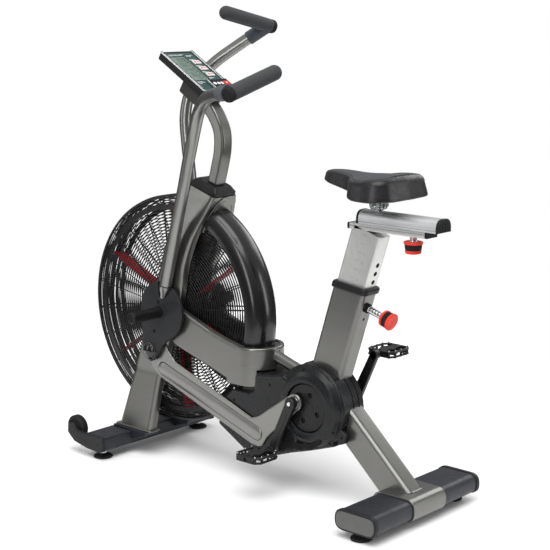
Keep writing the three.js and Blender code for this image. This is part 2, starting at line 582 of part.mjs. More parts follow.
// Cage pedal: middle barrel, two side plates, front and rear bars with grip studs.
function pedal(k) {
  const c = pedalAxis(k);
  const y0 = 114, y1 = 210, deep = 47, h = 9;
  const flat = (x0, x1, ya, yb, z0, z1) =>
    side([[c[0] + x0, c[1] + z0], [c[0] + x1, c[1] + z0], [c[0] + x1, c[1] + z1],
      [c[0] + x0, c[1] + z1]], ya, yb);
  let s = join(roundY(10, c[0], c[1], y0 + 1, y1 - 8, 14), roundY(6.5, c[0], c[1], 108.4, y1 - 10, 12),
    flat(-deep + 10, deep - 10, y0, y0 + 9, -h, h), flat(-deep + 16, deep - 16, y1 - 9, y1, -h, h),
    flat(-deep, -deep + 9, y0 + 14, y1 - 14, -h, h), flat(deep - 9, deep, y0 + 14, y1 - 14, -h, h));
  for (const e of [-1, 1]) {
    const q = (x, y) => [c[0] + e * x, y];
    const corner = (a, b, c2, d) => plan([q(...a), q(...b), q(...c2), q(...d)]
      .sort((m, n) => 0 * (m[0] - n[0])), c[1] - h, c[1] + h);
    for (const bar of [[[37, y0], [47, y0 + 15], [38, y0 + 17], [27, y0]],
      [[27, y1], [38, y1 - 17], [47, y1 - 15], [33, y1]]]) {
      const pts = e > 0 ? bar : [...bar].reverse();
      let piece = corner(...pts);
      if (piece.volume() < 0) piece = corner(...[...pts].reverse());
      s = s.add(piece);
    }
    for (const y of [y0 + 22, y1 - 22])
      s = s.add(rod([c[0] + e * 42, y, c[1] - h - 3.5], [c[0] + e * 42, y, c[1] + h + 3.5], 2.2, 6));
  }
  return sideways(k, s);
}

// ---------------------------------------------------------------- levers
// Built upright; the group they sit in leans them back or forward about the axle.
const LEVER_LINE = [[-353, 97, 490], [-352, 98, 548], [-348, 104, 644], [-341, 113, 760],
  [-334, 121, 862], [-330, 127, 950], [-321, 136, 1034], [-296, 160, 1106], [-238, 205, 1165],
  [-163, 253, 1205], [-100, 287, 1231]];
const BAR_OUT = [-62, 324, 1237.5], BAR_IN = [-76, 140, 1287];
const LEVER_R = 16.5;

const gripBar = () => {
  const core = rod(BAR_OUT, BAR_IN, 21.5, 16);
  const tip = solid(new THREE.SphereGeometry(21.4, 12, 8),
    new THREE.Matrix4().setPosition(...BAR_IN));
  return core.add(tip);
};

function leverTube(k) {
  let s = bent(LEVER_LINE, disc2(LEVER_R, 12), 18);
  s = cut(s, side([[-420, 430], [-300, 430], [-300, 560], [-420, 560]], 60, 79.3),
    rod(BAR_OUT, BAR_IN, 21.9, 20), roundY(24, FAN.x, FAN.z, 60, 130, 20));
  return sideways(k, s);
}

// Grip: the foam-covered crossbar with the sleeve that takes the lever tube.
function grip(k) {
  const end = [-76, 300, 1241], start = [-128, 272, 1219.5];
  let s = gripBar().add(rod(start, end, 21, 18));
  s = s.subtract(bent(LEVER_LINE, disc2(LEVER_R + 1.1, 12), 18));
  const parts = s.decompose();
  parts.sort((a, b) => b.volume() - a.volume());
  return sideways(k, parts[0]);
}

const ballAt = () => [FAN.x - BALL_R * Math.sin(BALL_LEAD), FAN.z - BALL_R * Math.cos(BALL_LEAD)];

function rocker(k) {
  const b = ballAt();
  const drop = [[FAN.x - 76, FAN.z - 24], [b[0] - LOBE_R, b[1] - 4], [b[0] + LOBE_R, b[1] + 8],
    [FAN.x + 74, FAN.z - 48]];
  let s = join(roundY(66, FAN.x, FAN.z, 79.2, 99, 24), side(drop, 88.6, 99),
    roundY(HEAD_R, FAN.x + HEAD_X, FAN.z + HEAD_Z, 88.6, 99, 36),
    roundY(LOBE_R, b[0], b[1], 88.6, 99, 24));
  // glossy cap over the link pivot
  s = s.add(solid(new THREE.SphereGeometry(23, 16, 6),
    new THREE.Matrix4().makeScale(1, 0.48, 1).setPosition(b[0], 99.8, b[1])));
  s = cut(s, roundY(12.4, FAN.x, FAN.z, 70, 120, 20));
  s = s.subtract(bent(LEVER_LINE, disc2(LEVER_R + 1.1, 12), 18));
  s = s.subtract(side([[FAN.x - 12, FAN.z + 42], [FAN.x + 6, FAN.z + 42], [FAN.x + 36, FAN.z + 110],
    [FAN.x - 30, FAN.z + 110]], 89, 110));
  return sideways(k, s);
}

function footPeg(k) {
  return sideways(k, turned([[0, 78.4], [12, 78.4], [12, 99.4], [17, 99.6], [17, 212], [15, 214],
    [0, 214]], FAN.x, FAN.z, 18));
}

// Pressed steel bar from the rocker pivot to the eccentric pin.
function link(k) {
  const c = pin(k);
  const tilt = k < 0 ? LEVER_TILT : -LEVER_TILT;
  const r = BALL_LEAD + tilt;
  const b = [FAN.x - BALL_R * Math.sin(r), FAN.z - BALL_R * Math.cos(r)];
  const d = [c[0] - b[0], c[1] - b[1]], len = Math.hypot(...d);
  const u = [d[0] / len, d[1] / len], n = [-u[1], u[0]];
  const p = (along, up, radius = 8) => [b[0] + u[0] * along + n[0] * up,
    b[1] + u[1] * along + n[1] * up, radius];
  // the bar hangs below the pin and a web climbs from it to the pin ring
  const bar = rounded([p(-14, 16, 12), p(-18, -16, 14), p(-6, -58, 18), p(34, -75, 30),
    p(424, -170, 14), p(458, -167, 14), p(476, -132, 16), p(len + 22, -10, 12), p(len + 8, 22, 12),
    p(len - 16, 20, 12), p(440, -78, 10), p(413, -92, 10), p(92, -11, 20), p(66, 10, 14),
    p(44, 32, 16), p(12, 26, 16)], 8, 2);
  const plate = side(bar, 79.6, 86.6);
  const rib = rounded([p(32, -46, 20), p(50, -27, 20), p(428, -111, 20), p(453, -127, 20),
    p(428, -154, 20), p(48, -66, 20)], 8, 3);
  return sideways(k, join(plate, side(rib, 79.6, 87.6), roundY(20, b[0], b[1], 79.6, 87.4, 24),
    roundY(24, c[0], c[1], 79.6, 87.4, 20)));
}

// ---------------------------------------------------------------- seat
const HOLES = 8, HOLE_FIRST = 275, HOLE_STEP = 25;

function seatPost() {
  let s = beam(box2(POST_L, POST_W, 10, 4), at(180), at(532));
  const rail = rounded([[-24, 772], [24, 772], [24, 789.5], [-24, 789.5]], 4, 3);
  s = s.add(front(rail, 294, 555));
  // bolt-pin holes down the rear face
  const inner = POST_W / 2 - 14, outer = inner + 20;
  for (let i = 0; i < HOLES; i++) {
    const p = at(HOLE_FIRST + i * HOLE_STEP);
    s = s.subtract(rod([p[0] + inner * Math.cos(TILT), 0, p[1] - inner * Math.sin(TILT)],
      [p[0] + outer * Math.cos(TILT), 0, p[1] - outer * Math.sin(TILT)], 6.9, 8));
  }
  return s.subtract(rod([496, 0, 765], [496, 0, 795], 6.3, 16));
}

// Arched sliding rail with end caps, and the toothed clamp that holds the saddle.
function seatSlider() {
  const arch = rounded([[-29, 790], [29, 790], [29, 812, 14], [12, 826, 16], [-12, 826, 16],
    [-29, 812, 14]], 3, 2);
  const cap = rounded([[-30, 790], [30, 790], [30, 813, 14], [12, 827.5, 16], [-12, 827.5, 16],
    [-30, 813, 14]], 3, 2);
  let s = join(front(arch, 334, 586), front(cap, 327, 335), front(cap, 585, 593));
  s = join(s, rod([382, 0, 822], [382, 0, 857.6], 12, 14), rod([382, -24, 846], [382, 24, 846], 9.5, 12),
    side([[362, 838], [402, 838], [402, 853], [362, 853]], -17, 17));
  return s.subtract(rod([496, 0, 785], [496, 0, 800], 6.3, 16));
}

// Wide crowned saddle: the plan shape narrows to the nose.
function saddle() {
  const planShape = rounded([[203, -16, 14], [232, -33, 26], [330, -52, 60], [372, -112, 40],
    [430, -122, 40], [478, -92, 44], [484, 0], [478, 92, 44], [430, 122, 40], [372, 112, 40],
    [330, 52, 60], [232, 33, 26], [203, 16, 14]], 10, 4);
  const sideShape = rounded([[196, 878, 10], [222, 874, 20], [330, 866, 40], [400, 860, 30],
    [484, 876, 16], [492, 905, 16], [462, 928, 20], [425, 929, 20], [350, 918, 60], [260, 927, 50],
    [222, 925, 20], [199, 897, 16]], 8, 4);
  const frontShape = rounded([[-124, 866, 18], [-60, 858, 20], [60, 858, 20], [124, 866, 18],
    [123, 902, 14], [92, 925, 24], [0, 931], [-92, 925, 24], [-123, 902, 14]], 8, 4);
  return plan(planShape, 840, 950).intersect(side(sideShape, -140, 140))
    .intersect(front(frontShape, 180, 500));
}

// Pull-pin knob along a direction: locking pin, collar, and a flared grip.
function pullKnob(base, dir, reach, grip0, r0, r1) {
  const p = (t) => [base[0] + dir[0] * t, 0, base[1] + dir[1] * t];
  return join(rod(p(0), p(reach), 6, 14), rod(p(reach - 4), p(grip0 + 1), 8, 16),
    rod(p(grip0), p(grip0 + 32), r0, 24, r1));
}

function postKnob() {
  const s = at(LOCK_AT);
  const dir = [Math.cos(TILT), -Math.sin(TILT)];
  const base = [s[0] + (POST_W / 2 + 0.6) * dir[0], s[1] + (POST_W / 2 + 0.6) * dir[1]];
  return pullKnob(base, dir, 17.4, 63, 22.5, 24.5);
}

const sliderKnob = () => pullKnob([496, 786], [0, -1], 22, 29, 26, 21.5);

// ---------------------------------------------------------------- assembly
add("front_stabilizer", frontStabilizer(), SATIN_BLACK);
add("rear_stabilizer", rearStabilizer(), SATIN_BLACK);
for (const [word, k] of [["left", -1], ["right", 1]]) {
  add(`front_end_${word}`, frontEnd(k), MATT_BLACK);
  add(`transport_wheel_${word}`, transportWheel(k), RUBBER);
  add(`front_foot_${word}`, foot(-1, k), RUBBER);
  add(`rear_foot_${word}`, foot(1, k), RUBBER);
  add(`fork_${word}`, fork(k), FRAME_GREY);
  add(`rear_arm_${word}`, rearArm(k), FRAME_GREY);
  add(`fan_cage_${word}`, cage(k), WIRE);
  add(`crank_housing_${word}`, housing(k), SATIN_BLACK);
  add(`crank_disc_${word}`, crankDisc(k), MATT_BLACK);
  add(`crank_arm_${word}`, crankArm(k), MATT_BLACK);
  add(`pedal_${word}`, pedal(k), MATT_BLACK);
  add(`foot_peg_${word}`, footPeg(k), SATIN_BLACK);
  add(`lever_link_${word}`, link(k), FRAME_GREY);
}
add("rear_bow", rearBow(), FRAME_GREY);
add("bottom_bracket", bottomBracket(), STEEL);
add("seat_column", seatColumn(), FRAME_GREY);
add("rear_leg", rearLeg(), FRAME_GREY);
add("column_collar", columnCollar(), MATT_BLACK);
add("neck_collar", neckCollar(), SATIN_BLACK);
add("console_mast", mast(), FRAME_GREY);
add("console_case", consoleCase(), SATIN_BLACK);
add("console_face", consoleFace(), FACE_GREEN);
add("lcd_window", lcdWindow(), LCD);
add("console_rails", consoleRails(), ALU);
for (const key of KEYS) add(key.name, keyCap(key, 1.4), KEY_WHITE);
add(PAD_KEY.name, keyCap(PAD_KEY, 10.4), KEY_RED);
add("fan_axle", fanAxle(), STEEL);
add("fan_rotor", fanRotor(), FAN_RED);
add("fan_pulley", fanPulley(), STEEL);
add("fan_fender", fender(), GLOSS_BLACK);
add("crank_spindle", crankSpindle(), STEEL);
add("drive_belt", belt(), RUBBER);
add("seat_post", seatPost(), ALU);
add("seat_slider", seatSlider(), ALU);
add("saddle", saddle(), VINYL);
add("post_knob", postKnob(), KNOB_RED);
add("slider_knob", sliderKnob(), KNOB_RED);

// The two levers lean by the same angle in opposite directions about the fan axle.
for (const [word, k] of [["left", -1], ["right", 1]]) {
  const pivot = new THREE.Group();
  pivot.position.set(FAN.x, 0, FAN.z);
  pivot.rotation.y = k < 0 ? LEVER_TILT : -LEVER_TILT;
  const inner = new THREE.Group();
  inner.position.set(-FAN.x, 0, -FAN.z);
  pivot.add(inner);
  bike.add(pivot);
  add(`lever_tube_${word}`, leverTube(k), FRAME_GREY, inner);
  add(`rocker_${word}`, rocker(k), MATT_BLACK, inner);
  add(`grip_${word}`, grip(k), FOAM, inner);
}

export default bike;
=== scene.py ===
from math import acos, atan2, cos, degrees, pi, radians, sin, sqrt, tan

import bmesh
import bpy
from mathutils import Matrix, Vector
from mathutils.geometry import tessellate_polygon


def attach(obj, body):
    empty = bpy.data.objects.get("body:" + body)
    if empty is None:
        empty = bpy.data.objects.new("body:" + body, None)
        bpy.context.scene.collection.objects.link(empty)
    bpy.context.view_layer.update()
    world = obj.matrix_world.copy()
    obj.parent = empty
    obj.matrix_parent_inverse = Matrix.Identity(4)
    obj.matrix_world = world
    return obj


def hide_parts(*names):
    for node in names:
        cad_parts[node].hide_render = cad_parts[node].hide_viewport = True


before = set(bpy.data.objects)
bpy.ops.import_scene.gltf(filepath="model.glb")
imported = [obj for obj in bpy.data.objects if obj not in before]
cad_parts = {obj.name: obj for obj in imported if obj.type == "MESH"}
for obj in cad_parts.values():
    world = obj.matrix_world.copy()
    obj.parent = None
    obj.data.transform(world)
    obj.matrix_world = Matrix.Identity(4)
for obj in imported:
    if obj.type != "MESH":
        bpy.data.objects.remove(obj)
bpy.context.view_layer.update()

# ------------------------------------------------------------------ sizes, millimetres
SHIFT_X = 51.0
FAN = (-358.0, 455.0)
CRANK = (198.0, 264.0)
BLADES, BLADE_R, BLADE_HALF, BLADE_FIRST = 6, 316.0, 22.0, radians(34.5)
HEAD, HEAD_R, LOBE_R = (FAN[0] + 6, FAN[1] + 7), 88.0, 31.0
ECCENTRIC, PIN_ANGLE = 36.0, radians(162)
PEDAL_CRANK, PEDAL_ANGLE = 173.0, radians(233)
LEVER_TILT = radians(15.36)
BALL_R, BALL_LEAD = 133.0, radians(3.5)
TILT = radians(17.5)
CONSOLE_TOP, CONSOLE_SLOPE = (-376.0, 1220.0), radians(30.8)
STAB_HALF = 230.0
FOOT_X, FOOT_Y = 500.0, 205.0
WHEEL = (-600, 76)
BOW_X, BOW_R = -50, 66.4
TOP_MID, TOP_FALL = 307.8, 0.13
LOCK_AT, HOLE_FIRST, HOLE_STEP, HOLES = 325, 275, 25, 8
CLAMP = (382, 843)
SIDES = (("left", -1), ("right", 1))


# ------------------------------------------------------------------ shape helpers
def row(p):
    """A point in machine millimetres as a point of the row frame, in metres."""
    return ((p[0] + SHIFT_X) / 1000, p[1] / 1000, p[2] / 1000)


def mirror(k):
    """The machine's left side is drawn from the right side's numbers."""
    return (lambda p: (p[0], -p[1], p[2])) if k < 0 else (lambda p: p)


def lean(k):
    """Leans a lever's point about the fan axle: left back, right forward."""
    a = LEVER_TILT if k < 0 else -LEVER_TILT

    def move(p):
        x, z = p[0] - FAN[0], p[2] - FAN[1]
        y = -p[1] if k < 0 else p[1]
        return (FAN[0] + x * cos(a) + z * sin(a), y, FAN[1] - x * sin(a) + z * cos(a))

    return move


def axes(origin, e1, e2, e3):
    """Turns local (u, v, w) into machine millimetres."""
    o, a, b, c = Vector(origin), Vector(e1), Vector(e2), Vector(e3)
    return lambda u, v, w: tuple(o + a * u + b * v + c * w)


SIDE = axes((0, 0, 0), (1, 0, 0), (0, 0, 1), (0, 1, 0))
PLAN = axes((0, 0, 0), (1, 0, 0), (0, 1, 0), (0, 0, 1))
FRONT = axes((0, 0, 0), (0, 1, 0), (0, 0, 1), (1, 0, 0))
CONSOLE = axes((CONSOLE_TOP[0], 0, CONSOLE_TOP[1]), (cos(CONSOLE_SLOPE), 0, -sin(CONSOLE_SLOPE)), (0, 1, 0),
               (sin(CONSOLE_SLOPE), 0, cos(CONSOLE_SLOPE)))
NECK_TURN = radians(17.6)
NECK = axes((-229.5, 0, 826), (0, 1, 0), (cos(NECK_TURN), 0, -sin(NECK_TURN)),
            (sin(NECK_TURN), 0, cos(NECK_TURN)))
SEAT_TUBE = axes((CRANK[0], 0, CRANK[1]), (0, 1, 0), (cos(TILT), 0, -sin(TILT)), (sin(TILT), 0, cos(TILT)))
LEG_TURN = radians(42.5)
SLEEVE_FRONT, SLEEVE_TOP, SLEEVE_ROUND = 433.5, 83.3, 30
LEG = axes((212.6, 0, 310.5), (0, 1, 0), (sin(LEG_TURN), 0, cos(LEG_TURN)),
           (cos(LEG_TURN), 0, -sin(LEG_TURN)))


def rounded(points, radius, steps=6, closed=True):
    """Corners replaced by curves. A third number on a point is its own radius."""
    out, n = [], len(points)
    for i, p in enumerate(points):
        r = p[2] if len(p) > 2 else radius
        if r < 0.01 or (not closed and i in (0, n - 1)):
            out.append((p[0], p[1]))
            continue
        a, b = points[i - 1], points[(i + 1) % n]
        ua, ub = Vector((a[0] - p[0], a[1] - p[1])), Vector((b[0] - p[0], b[1] - p[1]))
        la, lb = ua.length, ub.length
        half = acos(max(-1, min(1, ua.dot(ub) / (la * lb)))) / 2
        if pi / 2 - half < 0.03:
            out.append((p[0], p[1]))
            continue
        back = min(r / tan(half), la * 0.49, lb * 0.49)
        s, e, c = Vector(p[:2]) + ua / la * back, Vector(p[:2]) + ub / lb * back, Vector(p[:2])
        for j in range(steps + 1):
            t = j / steps
            q = s * (1 - t) ** 2 + c * 2 * t * (1 - t) + e * t * t
            out.append((q.x, q.y))
    return out


def box_of(u0, v0, u1, v1, r=0.0, steps=4):
    return rounded([(u0, v0), (u1, v0), (u1, v1), (u0, v1)], r, steps)


def rect(w, h, r, steps):
    """A rectangle about the middle."""
    return box_of(-w / 2, -h / 2, w / 2, h / 2, r, steps)


def ring_points(r, n=48, cx=0.0, cy=0.0, start=0.0):
    turns = [start + 2 * pi * i / n for i in range(n)]
    return [(cx + r * cos(a), cy + r * sin(a)) for a in turns]


def arc_points(centre, r, first, step, count):
    """Points on a circle, from the first angle on; both angles are in degrees."""
    turns = [radians(first + step * i) for i in range(count)]
    return [(centre[0] + r * cos(a), centre[1] + r * sin(a)) for a in turns]


def area(loop):
    return sum(loop[i - 1][0] * p[1] - p[0] * loop[i - 1][1] for i, p in enumerate(loop)) / 2


def inset(loop, d):
    """Every edge of a loop moved to its left by d."""
    out, n = [], len(loop)
    for i, p in enumerate(loop):
        a, b = loop[i - 1], loop[(i + 1) % n]
        d1, d2 = Vector((p[0] - a[0], p[1] - a[1])), Vector((b[0] - p[0], b[1] - p[1]))
        if d1.length < 1e-6 or d2.length < 1e-6:
            out.append(p)
            continue
        d1.normalize()
        d2.normalize()
        n1, n2 = Vector((-d1.y, d1.x)), Vector((-d2.y, d2.x))
        m = (n1 + n2) * (d / max(0.35, 1 + n1.dot(n2)))
        out.append((p[0] + m.x, p[1] + m.y))
    return out


def slab(outline, lo, hi, to, bevel=1.0, holes=(), steps=4, low_bevel=None):
    """A flat piece with rounded edges: an outline with holes, carried from lo to hi."""
    low = bevel if low_bevel is None else low_bevel
    loops = [outline if area(outline) > 0 else outline[::-1]]
    loops += [h if area(h) < 0 else h[::-1] for h in holes]
    levels = [(low * (1 - sin(t)), lo + low * (1 - cos(t))) for t in
              (pi / 2 * i / steps for i in range(steps + 1))] if low else [(0, lo)]
    levels += [(bevel * (1 - sin(t)), hi - bevel * (1 - cos(t))) for t in
               (pi / 2 * (1 - i / steps) for i in range(steps + 1))] if bevel else [(0, hi)]
    verts, faces, bottom, top = [], [], [], []
    flat_low, flat_high = [], []
    for loop in loops:
        base, n = len(verts), len(loop)
        for d, h in levels:
            verts += [to(p[0], p[1], h) for p in (inset(loop, d) if d else loop)]
        for i in range(len(levels) - 1):
            a, b = base + i * n, base + (i + 1) * n
            faces += [(a + j, a + (j + 1) % n, b + (j + 1) % n, b + j) for j in range(n)]
        bottom += range(base, base + n)
        top += range(base + (len(levels) - 1) * n, base + len(levels) * n)
        flat_low.append([Vector((*p, 0)) for p in (inset(loop, low) if low else loop)])
        flat_high.append([Vector((*p, 0)) for p in (inset(loop, bevel) if bevel else loop)])
    if holes:
        faces += [tuple(bottom[i] for i in t) for t in tessellate_polygon(flat_low)]
        faces += [tuple(top[i] for i in t) for t in tessellate_polygon(flat_high)]
    else:
        faces += [tuple(bottom), tuple(top)]
    return verts, faces


def skin(rings, caps=True, loop=False, around=True):
    """A surface through rings of points."""
    n, m = len(rings[0]), len(rings)
    verts, faces = [p for r in rings for p in r], []
    for i in range(m if loop else m - 1):
        a, b = i * n, (i + 1) % m * n
        faces += [(a + j, a + (j + 1) % n, b + (j + 1) % n, b + j) for j in range(n if around else n - 1)]
    if caps and not loop:
        faces += [tuple(range(n)), tuple(range((m - 1) * n, m * n))]
    return verts, faces


def lathe(profile, to, segments=56, wobble=None):
    """Turned shape: profile of (radius, height) pairs about the local w axis."""
    rings = []
    for i in range(segments):
        a = 2 * pi * i / segments
        k = wobble or (lambda angle, r, h: r)
        rings.append([to(k(a, r, h) * cos(a), k(a, r, h) * sin(a), h) for r, h in profile])
    closed = profile[0] == profile[-1]
    return skin(rings, loop=True, around=closed)


def turned(profile, radius, steps, to, segments=56, wobble=None):
    """Turned shape: a profile from axis to axis with its corners rounded."""
    return lathe(rounded(profile, radius, steps, closed=False), to, segments, wobble)


def hoop(section, radius, steps, to, segments=56):
    """Turned ring: a closed section with its corners rounded."""
    loop = rounded(section, radius, steps)
    return lathe([*loop, loop[0]], to, segments)


def about_y(x, z):
    return axes((x, 0, z), (1, 0, 0), (0, 0, 1), (0, 1, 0))


def about_z(x, y, z=0):
    return axes((x, y, z), (1, 0, 0), (0, 1, 0), (0, 0, 1))


def facing(to, way=1):
    """The direction of a local frame's w axis, or against it."""
    return Vector(to(0, 0, way)) - Vector(to(0, 0, 0))


def along(a, b):
    """Local frame at a whose w axis points to b."""
    w = (Vector(b) - Vector(a)).normalized()
    u = Vector((0, 1, 0)) if abs(w.y) < 0.9 else Vector((1, 0, 0))
    u = (u - w * u.dot(w)).normalized()
    return axes(a, u, w.cross(u), w)


def curve_through(points, per=8):
    """Smooth points through the given ones."""
    pts = [Vector(p) for p in points]
    pts = [pts[0] * 2 - pts[1], *pts, pts[-1] * 2 - pts[-2]]
    out = []
    for i in range(1, len(pts) - 2):
        a, b, c, d = pts[i - 1:i + 3]
        for j in range(per):
            t = j / per
            out.append(0.5 * (2 * b + (c - a) * t + (2 * a - 5 * b + 4 * c - d) * t * t
                              + (3 * b - a - 3 * c + d) * t ** 3))
    return [*out, pts[-2]]


def sweep(path, section, across=(0, 1, 0), loop=False):
    """A section carried along a path; its first direction stays near `across`."""
    rings, n = [], len(path)
    for i, p in enumerate(path):
        a = path[i - 1] if (i or loop) else p
        b = path[(i + 1) % n] if (i < n - 1 or loop) else p
        t = (Vector(b) - Vector(a)).normalized()
        u = Vector(across)
        u = (u - t * u.dot(t)).normalized()
        v = t.cross(u)
        rings.append([tuple(Vector(p) + u * q[0] + v * q[1]) for q in section])
    return skin(rings, loop=loop)


def merge(*shapes):
    verts, faces = [], []
    for v, f in shapes:
        base = len(verts)
        verts += v
        faces += [tuple(base + i for i in face) for face in f]
    return verts, faces


def make(name, shape, look, body="frame", stands_for=(), move=None, angle=38):
    """One visible piece: its mesh, its finish, and the body that it rides on."""
    verts, faces = shape
    mesh = bpy.data.meshes.new(name)
    mesh.from_pydata([row(move(p) if move else p) for p in verts], [], faces)
    bm = bmesh.new()
    bm.from_mesh(mesh)
    bmesh.ops.remove_doubles(bm, verts=bm.verts, dist=2e-6)
    bmesh.ops.dissolve_degenerate(bm, edges=bm.edges, dist=1e-7)
    bmesh.ops.recalc_face_normals(bm, faces=bm.faces)
    bm.to_mesh(mesh)
    bm.free()
    mesh.shade_smooth()
    mesh.set_sharp_from_angle(angle=radians(angle))
    piece = bpy.data.objects.new(name, mesh)
    bpy.context.scene.collection.objects.link(piece)
    mesh.materials.append(finish_of(look))
    piece.modifiers.new("flat faces", "WEIGHTED_NORMAL").keep_sharp = True
    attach(piece, body)
    if stands_for:
        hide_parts(*([stands_for] if isinstance(stands_for, str) else stands_for))
    return piece


# ------------------------------------------------------------------ finishes
class Surface:
    """Wires one procedural finish onto the standard shader."""

    def __init__(self, name, colour, rough, metal=0.0, coat=0.0, coat_rough=0.1, sheen=0.0, level=0.5):
        self.mat = bpy.data.materials.new(name)
        self.mat.use_nodes = True
        self.nodes, self.links = self.mat.node_tree.nodes, self.mat.node_tree.links
        self.shader = self.nodes["Principled BSDF"]
        for socket, value in (("Base Color", (*colour, 1)), ("Roughness", rough), ("Metallic", metal),
                              ("Coat Weight", coat), ("Coat Roughness", coat_rough),
                              ("Sheen Weight", sheen), ("Specular IOR Level", level)):
            self.shader.inputs[socket].default_value = value
        self.place = self.nodes.new("ShaderNodeTexCoord").outputs["Object"]
        self.normal = None

    def stretched(self, scale, turn=(0, 0, 0)):
        node = self.nodes.new("ShaderNodeMapping")
        node.inputs["Scale"].default_value = scale
        node.inputs["Rotation"].default_value = turn
        self.links.new(self.place, node.inputs["Vector"])
        return node.outputs["Vector"]

    def noise(self, scale, detail=2.0, rough=0.5, at=None):
        node = self.nodes.new("ShaderNodeTexNoise")
        node.inputs["Scale"].default_value = scale
        node.inputs["Detail"].default_value = detail
        node.inputs["Roughness"].default_value = rough
        self.links.new(at or self.place, node.inputs["Vector"])
        return node.outputs["Fac"]

    def cells(self, scale, feature="F1", at=None):
        node = self.nodes.new("ShaderNodeTexVoronoi")
        node.feature = feature
        node.inputs["Scale"].default_value = scale
        self.links.new(at or self.place, node.inputs["Vector"])
        return node.outputs["Distance"]

    def bands(self, scale, at=None, direction="X"):
        node = self.nodes.new("ShaderNodeTexWave")
        node.bands_direction = direction
        node.inputs["Scale"].default_value = scale
        node.inputs["Distortion"].default_value = 0.0
        self.links.new(at or self.place, node.inputs["Vector"])
        return node.outputs["Fac"]

    def spread(self, value, lo, hi, out_lo, out_hi):
        node = self.nodes.new("ShaderNodeMapRange")
        for socket, number in (("From Min", lo), ("From Max", hi), ("To Min", out_lo), ("To Max", out_hi)):
            node.inputs[socket].default_value = number
        self.links.new(value, node.inputs["Value"])
        return node.outputs["Result"]

    def both(self, a, b, how="MULTIPLY"):
        node = self.nodes.new("ShaderNodeMath")
        node.operation = how
        self.links.new(a, node.inputs[0])
        self.links.new(b, node.inputs[1])
        return node.outputs[0]

    def tint(self, value, *stops):
        """Colour from a value: stops are (position, colour)."""
        node = self.nodes.new("ShaderNodeValToRGB")
        ramp = node.color_ramp
        while len(ramp.elements) < len(stops):
            ramp.elements.new(0.5)
        for element, (where, colour) in zip(ramp.elements, stops):
            element.position = where
            element.color = (*colour, 1)
        self.links.new(value, node.inputs["Fac"])
        self.links.new(node.outputs["Color"], self.shader.inputs["Base Color"])

    def roughness(self, value, lo, hi, out_lo, out_hi):
        self.links.new(self.spread(value, lo, hi, out_lo, out_hi), self.shader.inputs["Roughness"])

    def bump(self, height, strength, distance):
        node = self.nodes.new("ShaderNodeBump")
        node.inputs["Strength"].default_value = strength
        node.inputs["Distance"].default_value = distance
        self.links.new(height, node.inputs["Height"])
        if self.normal:
            self.links.new(self.normal, node.inputs["Normal"])
        self.normal = node.outputs["Normal"]
        self.links.new(self.normal, self.shader.inputs["Normal"])


def shade(colour, factor):
    return tuple(c * factor for c in colour)


def metallic_paint(name, colour, rough=0.36):
    """Warm metallic coat: fine flake sparkle, cloudy tone, a trace of orange peel."""
    s = Surface(name, colour, rough, metal=0.85, coat=0.3, coat_rough=0.14)
    flake = s.noise(900, 2)
    cloud = s.noise(9, 4)
    s.tint(s.spread(s.both(flake, cloud, "ADD"), 0.5, 1.4, 0, 1), (0.1, shade(colour, 0.94)),
           (0.9, shade(colour, 1.06)))
    s.roughness(s.noise(34, 4), 0.3, 0.7, rough - 0.015, rough + 0.02)
    s.bump(s.noise(1500, 2), 0.02, 0.00003)
    return s.mat


def satin_paint(name, colour, rough=0.4):
    s = Surface(name, colour, rough, metal=0.1, level=0.3, coat=0.08, coat_rough=0.3)
    s.tint(s.noise(14, 5), (0.3, shade(colour, 0.85)), (0.75, shade(colour, 1.2)))
    s.roughness(s.noise(60, 5), 0.3, 0.7, rough - 0.07, rough + 0.1)
    s.bump(s.noise(900, 3), 0.1, 0.00006)
    return s.mat


def gloss_moulding(name, colour, rough=0.3, coat=0.25):
    """High gloss plastic: slight haze patches, hairline scratches and mould ripple."""
    s = Surface(name, colour, rough, level=0.35, coat=coat, coat_rough=0.14)
    scratch = s.noise(60, 3, at=s.stretched((1, 1, 22), (0.3, 0.5, 0)))
    s.tint(s.noise(8, 3), (0.3, shade(colour, 0.85)), (0.8, shade(colour, 1.2)))
    s.roughness(s.both(scratch, s.noise(5, 3)), 0.15, 0.4, rough - 0.03, rough + 0.03)
    s.bump(s.noise(900, 2), 0.02, 0.00005)
    return s.mat


def grained_moulding(name, colour, rough=0.45, grain=1500, depth=0.22):
    """Injection moulding with a fine spark-eroded grain."""
    s = Surface(name, colour, rough, level=0.24)
    s.tint(s.noise(22, 4), (0.3, shade(colour, 0.8)), (0.75, shade(colour, 1.3)))
    s.roughness(s.noise(140, 4), 0.3, 0.7, rough - 0.06, rough + 0.08)
    s.bump(s.cells(grain), depth, 0.00008)
    s.bump(s.noise(grain * 0.35, 3), depth * 0.6, 0.00008)
    return s.mat


def rubber(name, colour):
    s = Surface(name, colour, 0.72, level=0.2)
    s.tint(s.noise(45, 5), (0.3, shade(colour, 0.7)), (0.75, shade(colour, 1.6)))
    s.roughness(s.noise(200, 3), 0.3, 0.7, 0.6, 0.85)
    s.bump(s.noise(1300, 3), 0.3, 0.0003)
    return s.mat


def foam(name, colour):
    """Closed-cell foam: open pores, mottled tone and a soft skin."""
    s = Surface(name, colour, 0.78, sheen=0.1, level=0.25)
    s.tint(s.noise(700, 4), (0.3, shade(colour, 0.65)), (0.7, shade(colour, 1.4)))
    s.roughness(s.noise(30, 3), 0.3, 0.7, 0.68, 0.86)
    s.bump(s.cells(1100), 0.35, 0.0004)
    s.bump(s.noise(420, 4), 0.25, 0.0004)
    return s.mat


